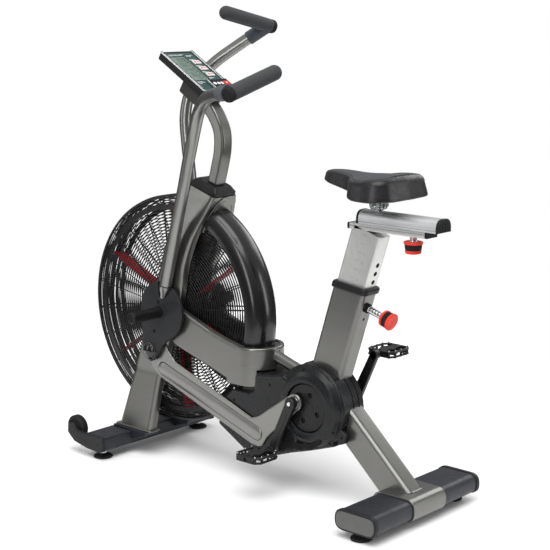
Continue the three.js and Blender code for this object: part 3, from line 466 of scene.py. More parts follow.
def leatherette(name, colour, rough=0.46):
    """Coated cloth with an irregular pebble grain and fine creases."""
    s = Surface(name, colour, rough, sheen=0.05, level=0.4)
    pebble = s.cells(620, at=s.stretched((1, 1.25, 1)))
    crease = s.cells(240, "DISTANCE_TO_EDGE")
    s.tint(s.spread(s.both(pebble, s.noise(12, 4), "ADD"), 0.25, 1.1, 0, 1), (0.0, shade(colour, 0.75)),
           (1.0, shade(colour, 1.35)))
    s.roughness(s.noise(50, 4), 0.3, 0.7, rough - 0.06, rough + 0.1)
    s.bump(pebble, 0.34, 0.0005)
    s.bump(s.spread(crease, 0, 0.12, 0, 1), 0.16, 0.0004)
    return s.mat


def brushed(name, colour, turn=(0, 0, 0), stretch=(40, 40, 1), rough=0.3, metal=1.0):
    """Metal with long fine strokes along one direction."""
    s = Surface(name, colour, rough, metal=metal)
    stroke = s.noise(38, 6, 0.65, at=s.stretched(stretch, turn))
    s.tint(stroke, (0.3, shade(colour, 0.84)), (0.72, shade(colour, 1.1)))
    s.roughness(s.both(stroke, s.noise(7, 3), "ADD"), 0.6, 1.4, rough - 0.07, rough + 0.12)
    s.bump(stroke, 0.08, 0.0003)
    return s.mat


def polished(name, colour, rough=0.14):
    s = Surface(name, colour, rough, metal=1.0)
    s.tint(s.noise(60, 4), (0.3, shade(colour, 0.86)), (0.8, shade(colour, 1.06)))
    s.roughness(s.noise(180, 4), 0.3, 0.7, rough - 0.04, rough + 0.1)
    s.bump(s.noise(500, 3), 0.04, 0.0002)
    return s.mat


def knurled(name, colour):
    """Black tube with two crossing sets of fine rolled grooves."""
    s = Surface(name, colour, 0.42, metal=0.6)
    one = s.bands(330, at=s.stretched((1, 1, 1), (0, 0, radians(45))))
    two = s.bands(330, at=s.stretched((1, 1, 1), (0, 0, radians(-45))))
    s.tint(s.noise(80, 4), (0.3, shade(colour, 0.8)), (0.8, shade(colour, 1.9)))
    s.roughness(s.noise(300, 3), 0.3, 0.7, 0.34, 0.55)
    s.bump(s.both(one, two), 0.5, 0.0005)
    return s.mat


def printed(name, colour, rough=0.4):
    """A printed or membrane surface with a faint texture."""
    s = Surface(name, colour, rough, coat=0.15, coat_rough=0.3)
    s.tint(s.noise(120, 4), (0.3, shade(colour, 0.9)), (0.8, shade(colour, 1.12)))
    s.roughness(s.noise(90, 3), 0.3, 0.7, rough - 0.05, rough + 0.08)
    s.bump(s.cells(1900), 0.06, 0.0002)
    return s.mat


def display_glass(name, colour):
    """Reflective liquid-crystal panel: even grey-green with a faint dot grid under gloss."""
    s = Surface(name, colour, 0.16, coat=0.6, coat_rough=0.05)
    grid = s.both(s.bands(620, direction="Y"), s.bands(620, direction="X"))
    s.tint(s.spread(s.both(grid, s.noise(16, 3), "ADD"), 0.2, 1.3, 0, 1), (0.0, shade(colour, 0.88)),
           (1.0, shade(colour, 1.12)))
    s.roughness(s.noise(20, 3), 0.3, 0.7, 0.1, 0.24)
    s.bump(grid, 0.03, 0.0001)
    return s.mat


GREY, LEVER, LINK = (0.165, 0.164, 0.153), (0.24, 0.24, 0.228), (0.235, 0.233, 0.22)
BLACK, RED = (0.0125, 0.0128, 0.014), (0.36, 0.008, 0.012)
# look: (how the finish is made, the record's slot)
FINISHES = {
    "frame": (lambda n: metallic_paint(n, GREY, 0.3), "frame_grey"),
    "lever": (lambda n: metallic_paint(n, LEVER, 0.3), "frame_grey"),
    "link": (lambda n: metallic_paint(n, LINK, 0.33), "link_grey"),
    "stabilizer": (lambda n: satin_paint(n, (0.018, 0.02, 0.026)), "stabilizer_black"),
    "fender": (lambda n: gloss_moulding(n, (0.008, 0.008, 0.0085), 0.24, 0.35), "fender_black"),
    "housing": (lambda n: grained_moulding(n, (0.011, 0.0115, 0.0125), 0.25, 1700, 0.06), "housing_black"),
    "rocker": (lambda n: grained_moulding(n, (0.016, 0.0165, 0.018), 0.4, 1500, 0.12), "rocker_black"),
    "end_plate": (lambda n: satin_paint(n, (0.095, 0.095, 0.092), 0.42), "trim_black"),
    "trim": (lambda n: grained_moulding(n, BLACK, 0.5), "trim_black"),
    "gloss_cap": (lambda n: gloss_moulding(n, (0.006, 0.006, 0.007), 0.12, 0.6), "trim_black"),
    "collar": (lambda n: grained_moulding(n, (0.011, 0.011, 0.012), 0.36, 1900, 0.1), "collar_black"),
    # near-black: the finish of small black screws, and the painted shade put in holes, slots, pocket
    # floors, recesses and creases
    "shadow": (lambda n: rubber(n, (0.005, 0.005, 0.005)), "trim_black"),
    "tyre": (lambda n: rubber(n, (0.012, 0.012, 0.013)), "tyre_black"),
    "foot": (lambda n: rubber(n, (0.012, 0.012, 0.013)), "foot_rubber"),
    "wire": (lambda n: satin_paint(n, (0.009, 0.009, 0.01), 0.34), "cage_wire"),
    "blade": (lambda n: satin_paint(n, RED, 0.42), "fan_red"),
    "knob_red": (lambda n: grained_moulding(n, (0.80, 0.045, 0.025), 0.4, 1500, 0.1), "knob_red"),
    "knob_black": (lambda n: rubber(n, (0.011, 0.011, 0.012)), "knob_red"),
    "steel": (lambda n: brushed(n, (0.5, 0.51, 0.52), stretch=(30, 1, 30)), "bare_steel"),
    "chrome": (lambda n: polished(n, (0.66, 0.67, 0.68)), "bare_steel"),
    "clamp": (lambda n: polished(n, (0.54, 0.57, 0.56), 0.24), "rail_silver"),
    "post": (lambda n: brushed(n, (0.66, 0.66, 0.64), (0, -TILT, 0), (30, 30, 1), 0.34, 0.8),
             "post_silver"),
    "post_mark": (lambda n: printed(n, (0.22, 0.23, 0.23)), "post_silver"),
    "rail": (lambda n: brushed(n, (0.78, 0.79, 0.80), stretch=(1, 34, 34), rough=0.36, metal=0.8),
             "rail_silver"),
    "under_rail": (lambda n: brushed(n, (0.66, 0.66, 0.65), stretch=(1, 34, 34), rough=0.38, metal=0.7),
                   "post_silver"),
    "rail_cap": (lambda n: grained_moulding(n, BLACK, 0.42), "rail_silver"),
    "belt": (lambda n: rubber(n, (0.010, 0.010, 0.011)), "belt_rubber"),
    "crank": (lambda n: satin_paint(n, (0.012, 0.012, 0.013), 0.32), "crank_black"),
    "disc": (lambda n: grained_moulding(n, (0.008, 0.008, 0.009), 0.25, 1700, 0.06), "disc_black"),
    "pedal": (lambda n: satin_paint(n, (0.010, 0.010, 0.011), 0.36), "pedal_black"),
    "peg": (lambda n: knurled(n, (0.012, 0.012, 0.013)), "peg_black"),
    "grip": (lambda n: foam(n, (0.05, 0.052, 0.056)), "grip_foam"),
    "grip_sleeve": (lambda n: foam(n, (0.07, 0.078, 0.088)), "grip_foam"),
    "grip_cap": (lambda n: rubber(n, (0.012, 0.012, 0.013)), "grip_foam"),
    "saddle_top": (lambda n: leatherette(n, (0.034, 0.036, 0.040), 0.5), "saddle_vinyl"),
    "saddle_side": (lambda n: leatherette(n, (0.009, 0.0092, 0.0105), 0.3), "saddle_vinyl"),
    "thread": (lambda n: rubber(n, (0.008, 0.008, 0.009)), "saddle_vinyl"),
    "case": (lambda n: grained_moulding(n, (0.010, 0.010, 0.011), 0.42), "console_black"),
    "bracket": (lambda n: satin_paint(n, (0.04, 0.038, 0.035), 0.5), "console_black"),
    "face": (lambda n: printed(n, (0.016, 0.062, 0.060)), "console_green"),
    "ink": (lambda n: printed(n, (0.80, 0.82, 0.81)), "console_green"),
    "lcd": (lambda n: display_glass(n, (0.16, 0.235, 0.19)), "display"),
    "segment": (lambda n: printed(n, (0.02, 0.045, 0.04)), "display"),
    "console_trim": (lambda n: brushed(n, (0.55, 0.56, 0.56), stretch=(1, 30, 1), rough=0.28),
                     "console_trim"),
    "key": (lambda n: printed(n, (0.74, 0.71, 0.69), 0.5), "key_white"),
    "key_mark": (lambda n: printed(n, (0.58, 0.02, 0.016)), "key_white"),
    "key_red": (lambda n: printed(n, (0.62, 0.025, 0.016), 0.42), "key_red"),
    "key_ink": (lambda n: printed(n, (0.80, 0.80, 0.79)), "key_red"),
}
_made = {}


def finish_of(look):
    if look not in _made:
        _made[look] = FINISHES[look][0](look)
    return _made[look]


# ------------------------------------------------------------------ small parts
def cap_screw(centre, direction, r, high, look, name, body="frame", move=None):
    """Button head with a round drive recess."""
    to = along(centre, Vector(centre) + Vector(direction))
    head = [(r, 0), (r, high * 0.35), (r * 0.86, high * 0.8), (r * 0.6, high), (r * 0.42, high),
            (r * 0.36, high * 0.45), (0, high * 0.4)]
    return make(name, lathe([(0, -0.4), (r, -0.4), *head], to, 28), look, body, move=move)


def hex_points(r):
    return ring_points(r, 6, start=pi / 6)


def between(points, z):
    """Value at height z on a line through (height, value) points."""
    for (z0, v0), (z1, v1) in zip(points, points[1:]):
        if z <= z1:
            return v0 + (v1 - v0) * max(0.0, (z - z0) / (z1 - z0))
    return points[-1][1]


# ------------------------------------------------------------------ base
def front_base():
    bar = rounded([(-553, 31), (-535, 27), (-470, 27), (-463, 31), (-463, 70), (-553, 70)], 6)
    shape = slab(bar, -STAB_HALF, STAB_HALF, SIDE, 1.2)
    make("front_base_bar", shape, "stabilizer", stands_for="front_stabilizer")
    shoe = rounded([(-546, 69), (-466, 69), (-462, 44), (-408, 62), (-400, 76), (-546, 76)], 2.5)
    for word, k in SIDES:
        make(f"fork_shoe_{word}", slab(shoe, 62, 120, SIDE, 2), "stabilizer", move=mirror(k))
        plate = rounded([(-556, 74, 5), (-580, 76, 8), (-596, 96, 14), (-618, 92, 14), (-622, 62, 14),
                         (-592, 38, 16), (-535, 27, 20), (-478, 24, 6), (-459, 30, 6), (-462, 74, 5)], 6)
        make(f"front_end_plate_{word}", slab(plate, STAB_HALF + 0.3, STAB_HALF + 12, SIDE, 3.5,
                                             low_bevel=0.8), "trim", stands_for=f"front_end_{word}",
             move=mirror(k))
        for x in (-540, -482):
            cap_screw((x, STAB_HALF + 11.5, 50), (0, 1, 0), 5, 0.5, "chrome",
                      f"end_screw_{word}_{-x}", move=mirror(k))


def wheels():
    y0, y1 = STAB_HALF - 24, STAB_HALF - 1
    mid = (y0 + y1) / 2
    tyre = [(24, y0), (34, y0), (38, y0 + 4), (38, y1 - 4), (34, y1), (24, y1)]
    spin = about_y(*WHEEL)
    hub = [(0, y0 + 3), (10, y0 + 3), (11, y0 + 1), (16, y0 + 1), (17, y0 + 4), (24.2, y0 + 4),
           (24.2, y1 - 4), (17, y1 - 4), (16, y1 - 1), (11, y1 - 1), (6, y1 + 1), (6, y1 + 10),
           (0, y1 + 10)]
    for word, k in SIDES:
        make(f"roller_tyre_{word}", hoop(tyre, 2.5, 4, spin), "tyre", f"{word}_wheel",
             f"transport_wheel_{word}", mirror(k))
        make(f"roller_hub_{word}", turned(hub, 0.7, 3, spin), "trim",
             f"{word}_wheel", move=mirror(k))
        ribs = []
        for a in (pi / 3 * n for n in range(6)):
            to = axes((WHEEL[0], 0, WHEEL[1]), (cos(a), 0, sin(a)), (-sin(a), 0, cos(a)), (0, 1, 0))
            ribs.append(slab(box_of(12, -1.2, 23.5, 1.2), mid - 8.4, mid + 8.4, to, 0.4))
        make(f"roller_ribs_{word}", merge(*ribs), "trim", f"{word}_wheel", move=mirror(k))
        cap_screw((WHEEL[0], STAB_HALF + 10, WHEEL[1]), (0, 1, 0), 7.5, 1.8, "chrome",
                  f"roller_bolt_{word}", f"{word}_wheel", mirror(k))


def rear_base():
    outline = box_of(438, 25, 568, 79, 26, 12)
    make("rear_base_tube", slab(outline, -STAB_HALF, STAB_HALF, SIDE, 0), "stabilizer",
         stands_for="rear_stabilizer")
    cap = box_of(435.2, 23.2, 570.8, 80.8, 28, 12)
    for word, k in SIDES:
        make(f"rear_end_cap_{word}", slab(cap, 223, 237.4, SIDE, 3, low_bevel=1), "trim", move=mirror(k))
        make(f"rear_end_plate_{word}", slab(inset(cap, 5.5), 236, 238, SIDE, 0.5), "end_plate",
             move=mirror(k))


def feet():
    for end, sx in (("front", -1), ("rear", 1)):
        for word, k in SIDES:
            to = about_z(sx * FOOT_X, k * FOOT_Y)
            pad = [(0, 0), (26, 0), (29, 1.6), (29, 3.6), (27.5, 6.2), (20, 9.4), (13, 11.8), (12, 13),
                   (0, 13)]
            make(f"{end}_foot_pad_{word}", turned(pad, 0.8, 3, to, 48), "foot",
                 f"{end}_{word}_foot", f"{end}_foot_{word}")
            nut = slab(hex_points(10.5), 12, 19, to, 0.9)
            stem = lathe([(0, 12), (5.9, 12), (5.9, 40), (0, 40)], to, 24)
            make(f"{end}_foot_stem_{word}", merge(nut, stem), "chrome", f"{end}_{word}_foot")


# ------------------------------------------------------------------ frame
FORK_FRONT = [(30, -545), (84, -532), (214, -502), (382, -452), (529, -397), (656, -356), (755, -318),
              (843, -283)]
FORK_REAR = [(30, -396), (98, -394), (256, -378), (382, -335), (514, -290), (591, -277), (669, -247),
             (731, -214), (809, -176)]
FORK_OUTER = [(30, 110), (76.3, 108.3), (150, 95), (258, 78), (690, 78), (740, 72), (782, 60), (818, 48),
              (880, 46)]
FORK_INNER = [(30, 77), (76.3, 76), (150, 63.6), (258, 46.2), (735, 46.2), (768, 42), (788, 33), (797, 21),
              (803, 0.2), (880, 0.2)]


def eased(points):
    """The same line with its corners softened, as (height, value) points."""
    fine = curve_through([(z, v, 0) for z, v in points], 10)
    return [(p[0], p[1]) for p in fine]


def fork_leg():
    """One leg lofted up from its shoe to the neck; the inner wall closes over the fan."""
    fronts, rears = eased(FORK_FRONT), eased(FORK_REAR)
    rings, count = [], 76
    for i in range(count + 1):
        s = i / count
        zf, zr = 76.5 + (842.6 - 76.5) * s, 76.5 + (808.6 - 76.5) * s
        f, r = Vector((between(fronts, zf), zf)), Vector((between(rears, zr), zr))
        long, mid = (r - f).length, (zf + zr) / 2
        thick = between(FORK_OUTER, mid) - between(FORK_INNER, mid)
        room = max(0.05, between(FORK_INNER, mid) - 0.2)
        tight, soft = min(9.0, room * 0.3), min(16.0, thick * 0.46)
        inside = [(long * j / 7, 0, 0) for j in range(2, 6)]
        outside = [(long * (7 - j) / 7, thick, 0) for j in range(2, 6)]
        section = rounded([(0, 0, tight), *inside, (long, 0, tight), (long, thick, soft * 1.25), *outside,
                           (0, thick, soft)], 1, 10)
        ring = []
        for a, c in section:
            p = f + (r - f) * (a / long)
            y0, y1 = between(FORK_INNER, p.y), between(FORK_OUTER, p.y)
            ring.append((p.x, y0 + (y1 - y0) * c / thick, p.y))
        rings.append(ring)
    return skin(rings)


ARM = [(-330, 484), (-277, 463), (-174, 425, 60), (-110, 408, 60), (-58, 397), (-47, 396),
       (-47, 279), (-88, 286, 40), (-209, 324), (-301, 351), (-352, 369)]


def wall_along(path, section, way=1):
    """An upright wall: a section of (outward, height) points carried along a path in plan."""
    rings = []
    for i, (x, y) in enumerate(path):
        a, b = Vector(path[max(0, i - 1)]), Vector(path[min(len(path) - 1, i + 1)])
        t = (b - a).normalized()
        rings.append([(x + t.y * out, way * (y - t.x * out), z) for out, z in section])
    return skin(rings)


def arms_and_bow():
    for word, k in SIDES:
        make(f"fork_shell_{word}", fork_leg(), "frame", stands_for=f"fork_{word}", move=mirror(k),
             angle=60)
        make(f"arm_shell_{word}", slab(rounded(ARM, 0, 8), 55.2, 78, SIDE, 11, steps=10, low_bevel=4),
             "frame", stands_for=f"rear_arm_{word}", move=mirror(k), angle=60)
        foot = rounded([(-544, 0, 8), (-386, 0, 8), (-386, 44, 8), (-544, 44, 8)], 8)
        make(f"fork_foot_plate_{word}", slab([(x, y + 70) for x, y in foot], 76.2, 80.4, PLAN, 1.8),
             "frame", move=mirror(k))
    path = [(-66, -BOW_R), (BOW_X, -BOW_R), *arc_points((BOW_X, 0), BOW_R, -90, 5, 37), (BOW_X, BOW_R),
            (-66, BOW_R)]
    # wall around the fender's foot: (out from the middle line, height), with a full round top edge
    wall = rounded([(-11.3, 331, 2), (11.3, 331, 3), (11.3, 395.5, 13), (-3, 395.5, 6), (-3, 389.6, 1),
                    (-11.3, 388.6, 1)], 3, 8)
    make("bow_band", wall_along(path, wall), "frame", stands_for="rear_bow", angle=60)
    # the arm's lower corner turns in with the wall
    skirt = rounded([(-1, 281, 2), (11.5, 281, 8), (11.5, 345, 2), (-1, 345, 2)], 2, 6)
    bend = [(-100, -BOW_R), (-75, -BOW_R), (BOW_X, -BOW_R), *arc_points((BOW_X, 0), BOW_R, -86, 4, 10)]
    for word, k in SIDES:
        make(f"bow_skirt_{word}", wall_along(bend, skirt, -1), "frame", move=mirror(k), angle=60)
    deck = [(-70, -62), (BOW_X, -62), *arc_points((BOW_X, 0), 62, -84, 7, 25), (BOW_X, 62), (-70, 62)]
    make("bow_deck", slab(deck, 378, 388.4, PLAN, 1), "frame")
    tail = along((14, 0, 371), (142, 0, 331))
    make("bow_tail", lathe([(0, 0), (16.8, 0), (16.8, 134), (0, 134)], tail, 48), "frame")
    gusset = rounded([(18, 332), (24, 364), (136, 330), (112, 300), (30, 300)], 3, 4)
    make("bow_gusset", slab(gusset, -4, 4, SIDE, 1), "frame")
    bead = [(17.2, 4), (19.4, 6.4), (18.4, 9.6), (16.6, 11)]
    make("bow_tail_weld", hoop(bead, 1.4, 3, tail, 48), "frame")


def landing(height):
    """How far down the leg a line at this height above its axis meets the sleeve's skin."""
    x, _, z = LEG(0, height, 0)
    down, right = sin(LEG_TURN), cos(LEG_TURN)
    flat = (z - SLEEVE_TOP) / down
    if x + right * flat >= SLEEVE_FRONT + SLEEVE_ROUND:
        return flat
    # the sleeve's rounded front edge, a circle
    dx, dz = x - SLEEVE_FRONT - SLEEVE_ROUND, z - SLEEVE_TOP + SLEEVE_ROUND
    along_line = dx * right - dz * down
    return -along_line - sqrt(along_line ** 2 - dx ** 2 - dz ** 2 + SLEEVE_ROUND ** 2)


def column_and_leg():
    body = rect(62, 108, 14, 10)
    low = [SEAT_TUBE(x, u, 25) for x, u in body]
    make("column_tube", skin([low, level_cut(body, 607)]), "frame", stands_for="seat_column")
    leg = box_of(-31, -44, 31, 44, 14, 8)
    top = [LEG(y, v, 40) for y, v in leg]
    foot = [LEG(y, v, landing(v) + 3) for y, v in leg]
    make("leg_tube", skin([top, foot]), "frame", stands_for="rear_leg")
    back, low_edge = SLEEVE_FRONT + 138.8, SLEEVE_TOP - 62.6
    sleeve = rounded([(SLEEVE_FRONT, low_edge), (back, low_edge), (back, SLEEVE_TOP),
                      (SLEEVE_FRONT, SLEEVE_TOP)], SLEEVE_ROUND, 12)
    hole = box_of(438.6, 25.6, 567.4, 78.4, 25.4, 12)
    make("leg_sleeve", slab(sleeve, -71.8, 71.8, SIDE, 1.6, holes=[hole]), "frame")
    # weld bead where the leg lands on the sleeve
    bead = [LEG(y, v, landing(v) - 0.5) for y, v in inset(leg, -0.6)]
    make("leg_weld", sweep(bead, ring_points(3, 8), loop=True, across=(0, 0.3, 1)), "frame")


def level_cut(outline, z):
    """Where an outline across the seat tube meets a level plane with a slight rearward fall."""
    ring = []
    for x, u in outline:
        a, b = SEAT_TUBE(x, u, 0), SEAT_TUBE(x, u, 100)
        fall = lambda p: p[2] - z + TOP_FALL * (p[0] - TOP_MID)
        t = fall(a) / (fall(a) - fall(b))
        ring.append(tuple(p + (q - p) * t for p, q in zip(a, b)))
    return ring


def collars():
    bore = rect(49, 101, 10.4, 10)
    grow = lambda d: rect(74 + 2 * d, 120 + 2 * d, 18 + d, 10)
    layers = [level_cut(grow(d), z) for d, z in
              ((-1.6, 602.6), (-0.2, 604.4), (0, 607), (0, 614), (-0.7, 617.4), (-2.4, 620), (-5, 621.3),
               (-9.6, 621.4))]
    layers += [level_cut(bore, 620.4), level_cut(bore, 603)]
    make("column_cap", skin(layers, loop=True), "collar", stands_for="column_collar", angle=50)
    gasket = box_of(-45, -54, 45, 54, 9, 6)
    make("neck_gasket", slab(gasket, 0.5, 12.9, NECK, 2.6, low_bevel=1), "collar",
         stands_for="neck_collar")

    def layer(w, l, r, h):
        return [NECK(u, v, h) for u, v in box_of(-w, -l, w, l, r, 5)]

    top = [layer(43, 52, 8, 12.6), layer(42.4, 51.4, 8, 14), layer(34.6, 41.8, 7, 23.2),
           layer(33.2, 40.2, 6.6, 24.6), layer(24, 26, 8, 24.8)]
    make("neck_cover", skin(top), "collar")
    for i, (u, v) in enumerate(((-28, -30), (28, -30), (-28, 30), (28, 30))):
        cap_screw(NECK(u, v, 24.2), facing(NECK), 3.6, 1.4, "shadow",
                  f"neck_screw_{i}")


def mast():
    line = curve_through([(-216, 0, 838), (-200, 0, 893), (-188, 0, 945), (-189, 0, 995), (-208, 0, 1036),
                          (-240, 0, 1072), (-278, 0, 1099)], 10)
    line = [p for p in line if p.z > 849]
    make("mast_tube", sweep(line, rect(42, 38, 8, 8), (0, 1, 0)), "frame", stands_for="console_mast",
         angle=60)
    bracket = box_of(104, -48, 190, 48, 8, 6)
    make("console_bracket", slab(bracket, -66.8, -22.4, CONSOLE, 3, low_bevel=7, steps=6), "bracket")
    for i, (u, v) in enumerate(((118, -38), (176, -38), (118, 38), (176, 38))):
        cap_screw(CONSOLE(u, v, -66.4), facing(CONSOLE, -1), 3.4, 0.4,
                  "chrome", f"bracket_screw_{i}")


# ------------------------------------------------------------------ console
KEYS = {"key_1": (50, 68, 20, 50), "key_2": (82, 100, 20, 50), "key_3": (114, 132, 20, 50)}
START_KEY = (172, 192, 36, 56)
DIGITS = {"0": "abcdef", "1": "bc", "2": "abged", "3": "abgcd", "4": "fgbc", "5": "afgcd", "6": "afgedc",
          "7": "abc", "8": "abcdefg", "9": "abcdfg"}


def seven(text, u, v, high, to, lo, thick):
    """Seven-bar numbers; u runs down the digit and v across it."""
    bars, w, t = [], high * 0.5, high * 0.11
    for i, ch in enumerate(text):
        x = v + i * w * 1.35
        place = {"a": (0, 0, t, w), "d": (high - t, 0, high, w),
                 "g": ((high - t) / 2, 0, (high + t) / 2, w), "f": (0, 0, high / 2, t),
                 "b": (0, w - t, high / 2, w), "e": (high / 2, 0, high, t),
                 "c": (high / 2, w - t, high, w)}
        for bar in DIGITS[ch]:
            a, b, c, d = place[bar]
            bars.append(slab(box_of(u + a + 0.2, x + b + 0.2, u + c - 0.2, x + d - 0.2), lo, lo + thick,
                             to, 0))
    return merge(*bars)


def console():
    pocket = box_of(5.7, -57.3, 205.3, 57.3)
    body = merge(slab(box_of(0, -65, 211, 65, 7, 6), -22, -4.6, CONSOLE, 0, low_bevel=4),
                 slab(box_of(0, -65, 211, 65, 7, 6), -4.6, 0, CONSOLE, 0.6, holes=[pocket], low_bevel=0))
    make("console_shell", body, "case", stands_for="console_case")
    holes = [box_of(28, -50, 150, 8, 2)]
    holes += [box_of(a - 0.8, c - 0.8, b + 0.8, d + 0.8, 1.5) for a, b, c, d in
              (*KEYS.values(), START_KEY)]
    make("console_membrane", slab(box_of(6, -57, 205, 57, 3), -4, -0.6, CONSOLE, 0.3, holes=holes,
                                  low_bevel=0), "face", stands_for="console_face")
    make("display_pane", slab(box_of(28.4, -49.6, 149.6, 7.6, 2), -2.1, -0.7, CONSOLE, 0.3), "lcd",
         stands_for="lcd_window")
    frame_line = slab(box_of(26.4, -51.6, 151.6, 9.6, 3), -0.65, -0.35, CONSOLE, 0,
                      holes=[box_of(28.6, -49.4, 149.4, 7.4, 2)])
    make("display_border", frame_line, "case")
    rows = [seven(text, u, v, high, CONSOLE, -0.75, 0.2) for text, u, v, high in
            (("188", 34, -40, 20), ("088", 62, -40, 17), ("2480", 88, -42, 14), ("365", 110, -40, 17),
             ("90", 132, -26, 12))]
    lines = [box_of(u, -46, u + 0.8, 4) for u in (58, 83.5, 106, 129)]
    lines += [box_of(34 + i * 5, -2 - (i % 3) * 2, 36.6 + i * 5, 3) for i in range(22)]
    rows += [slab(line, -0.75, -0.55, CONSOLE, 0) for line in lines]
    make("display_segments", merge(*rows), "segment")
    marks = [slab(box_of(u, v, u + 1.6, v + w), -0.7, -0.4, CONSOLE, 0)
             for u, v, w in ((16, -46, 34), (16, -8, 22), (20, -46, 18), (20, -24, 30), (43, 16, 18),
                             (46, 16, 26), (75, 16, 24), (78, 16, 14), (107, 16, 16), (110, 16, 26),
                             (139, 16, 22), (142, 16, 12), (22, 20, 26), (26, 20, 18), (156, -48, 22),
                             (160, -48, 30), (166, -48, 14))]
    make("console_markings", merge(*marks), "ink")
    rails = [box_of(0, -65, 211, -56.6, 3), box_of(0, 56.6, 211, 65, 3), box_of(202, -65, 211, 65, 3)]
    make("console_edges", merge(*[slab(r, 0.3, 4, CONSOLE, 1.5, low_bevel=0) for r in rails]),
         "console_trim", stands_for="console_rails")
    pad = rounded([(158, -14), (208, -14), (218, 64), (158, 64)], 4, 5)
    key_hole = box_of(START_KEY[0] - 0.8, START_KEY[2] - 0.8, START_KEY[1] + 0.8, START_KEY[3] + 0.8, 2)
    make("keypad_rim", slab(pad, 0.3, 7.6, CONSOLE, 1.6, holes=[key_hole]), "console_trim")
    make("keypad_top", slab(inset(pad if area(pad) > 0 else pad[::-1], 3.2), 7.4, 8.6, CONSOLE, 0.6,
                            holes=[key_hole]), "case")
    soft = [slab(ring_points(6, 28, 182, v), 8.4, 9.6, CONSOLE, 0.6) for v in (-2, 14)]
    soft.append(slab(box_of(176, 23, 188, 32, 3), 8.4, 9.6, CONSOLE, 0.6))
    make("keypad_buttons", merge(*soft), "ink")
    for i, u in enumerate((12, 72, 138, 198)):
        for j, v in enumerate((-60.8, 60.8)):
            cap_screw(CONSOLE(u, v, 3.9), facing(CONSOLE), 2.7, 1.0,
                      "shadow", f"edge_screw_{i}_{j}")


def console_keys():
    for name, (a, b, c, d) in KEYS.items():
        make(f"{name}_cap", slab(box_of(a + 0.4, c + 0.4, b - 0.4, d - 0.4, 2.5), -4.8, 1.4, CONSOLE, 1.1),
             "key", name, name)
        dot = slab(ring_points(3.6, 24, (a + b) / 2, c + 8), 1.35, 1.55, CONSOLE, 0)
        bar = slab(box_of((a + b) / 2 - 1.4, c + 14, (a + b) / 2 + 1.4, d - 4, 1), 1.35, 1.55, CONSOLE, 0)
        make(f"{name}_mark", merge(dot, bar), "key_mark", name)
    a, b, c, d = START_KEY
    make("start_key_cap", slab(box_of(a + 0.4, c + 0.4, b - 0.4, d - 0.4, 4), -4.8, 10.4, CONSOLE, 1.6),
         "key_red", "key_start", "key_start")
    arrow = [(a + 6, c + 7), (b - 6, c + 7), ((a + b) / 2, d - 6)]
    make("start_key_arrow", slab(arrow, 10.3, 10.5, CONSOLE, 0), "key_ink", "key_start")


# ------------------------------------------------------------------ fan
def wire_ring(r, y, thick, segments=96, sides=6):
    loop = ring_points(thick, sides, r, y)
    return lathe([*loop, loop[0]], about_y(*FAN), segments)


def dome(r):
    return 36.6 + 4.6 * (1 - (r / 332) ** 2)


def cages():
    for word, k in SIDES:
        wires = [wire_ring(r, dome(r), 1.75, 96, 6) for r in (62 + 9.3 * i for i in range(26))]
        wires += [wire_ring(r, dome(r) - 0.5, 1.7, 96, 6) for r in (321.5, 328.5)]
        make(f"cage_hoops_{word}", merge(*wires), "wire", stands_for=f"fan_cage_{word}", move=mirror(k),
             angle=80)
        spokes = []
        for i in range(24):
            a = 2 * pi * (i + 0.5) / 24
            reach = [(FAN[0] + r * cos(a), dome(r) - 2.6, FAN[1] + r * sin(a)) for r in
                     (46, 120, 200, 270, 320, 333)]
            reach += [(FAN[0] + 340.6 * cos(a), 33, FAN[1] + 340.6 * sin(a)),
                      (FAN[0] + 342.6 * cos(a), 22, FAN[1] + 342.6 * sin(a)),
                      (FAN[0] + 342.6 * cos(a), 1, FAN[1] + 342.6 * sin(a))]
            spokes.append(sweep(reach, ring_points(1.6 if i % 3 else 2.2, 6), (sin(a), 0.01, -cos(a))))
        make(f"cage_spokes_{word}", merge(*spokes), "wire", move=mirror(k), angle=80)
        bands = [wire_ring(337, 37.6, 3.8, 128, 10), wire_ring(342, 26, 1.9, 128, 6),
                 wire_ring(342.4, 17.5, 1.9, 128, 6), wire_ring(342.4, 9.5, 1.9, 128, 6),
                 wire_ring(342.2, 2.6, 2.2, 128, 6)]
        strip = [(300, 36.2), (317, 35.2), (317, 38), (300, 39)]
        bands.append(hoop(strip, 0.8, 3, about_y(*FAN), 128))
        hub = [(15.5, 38.6), (56, 38.6), (56, 41.4), (50, 43.6), (15.5, 43.6)]
        bands.append(hoop(hub, 1, 3, about_y(*FAN), 72))
        make(f"cage_rim_{word}", merge(*bands), "wire", move=mirror(k), angle=50)


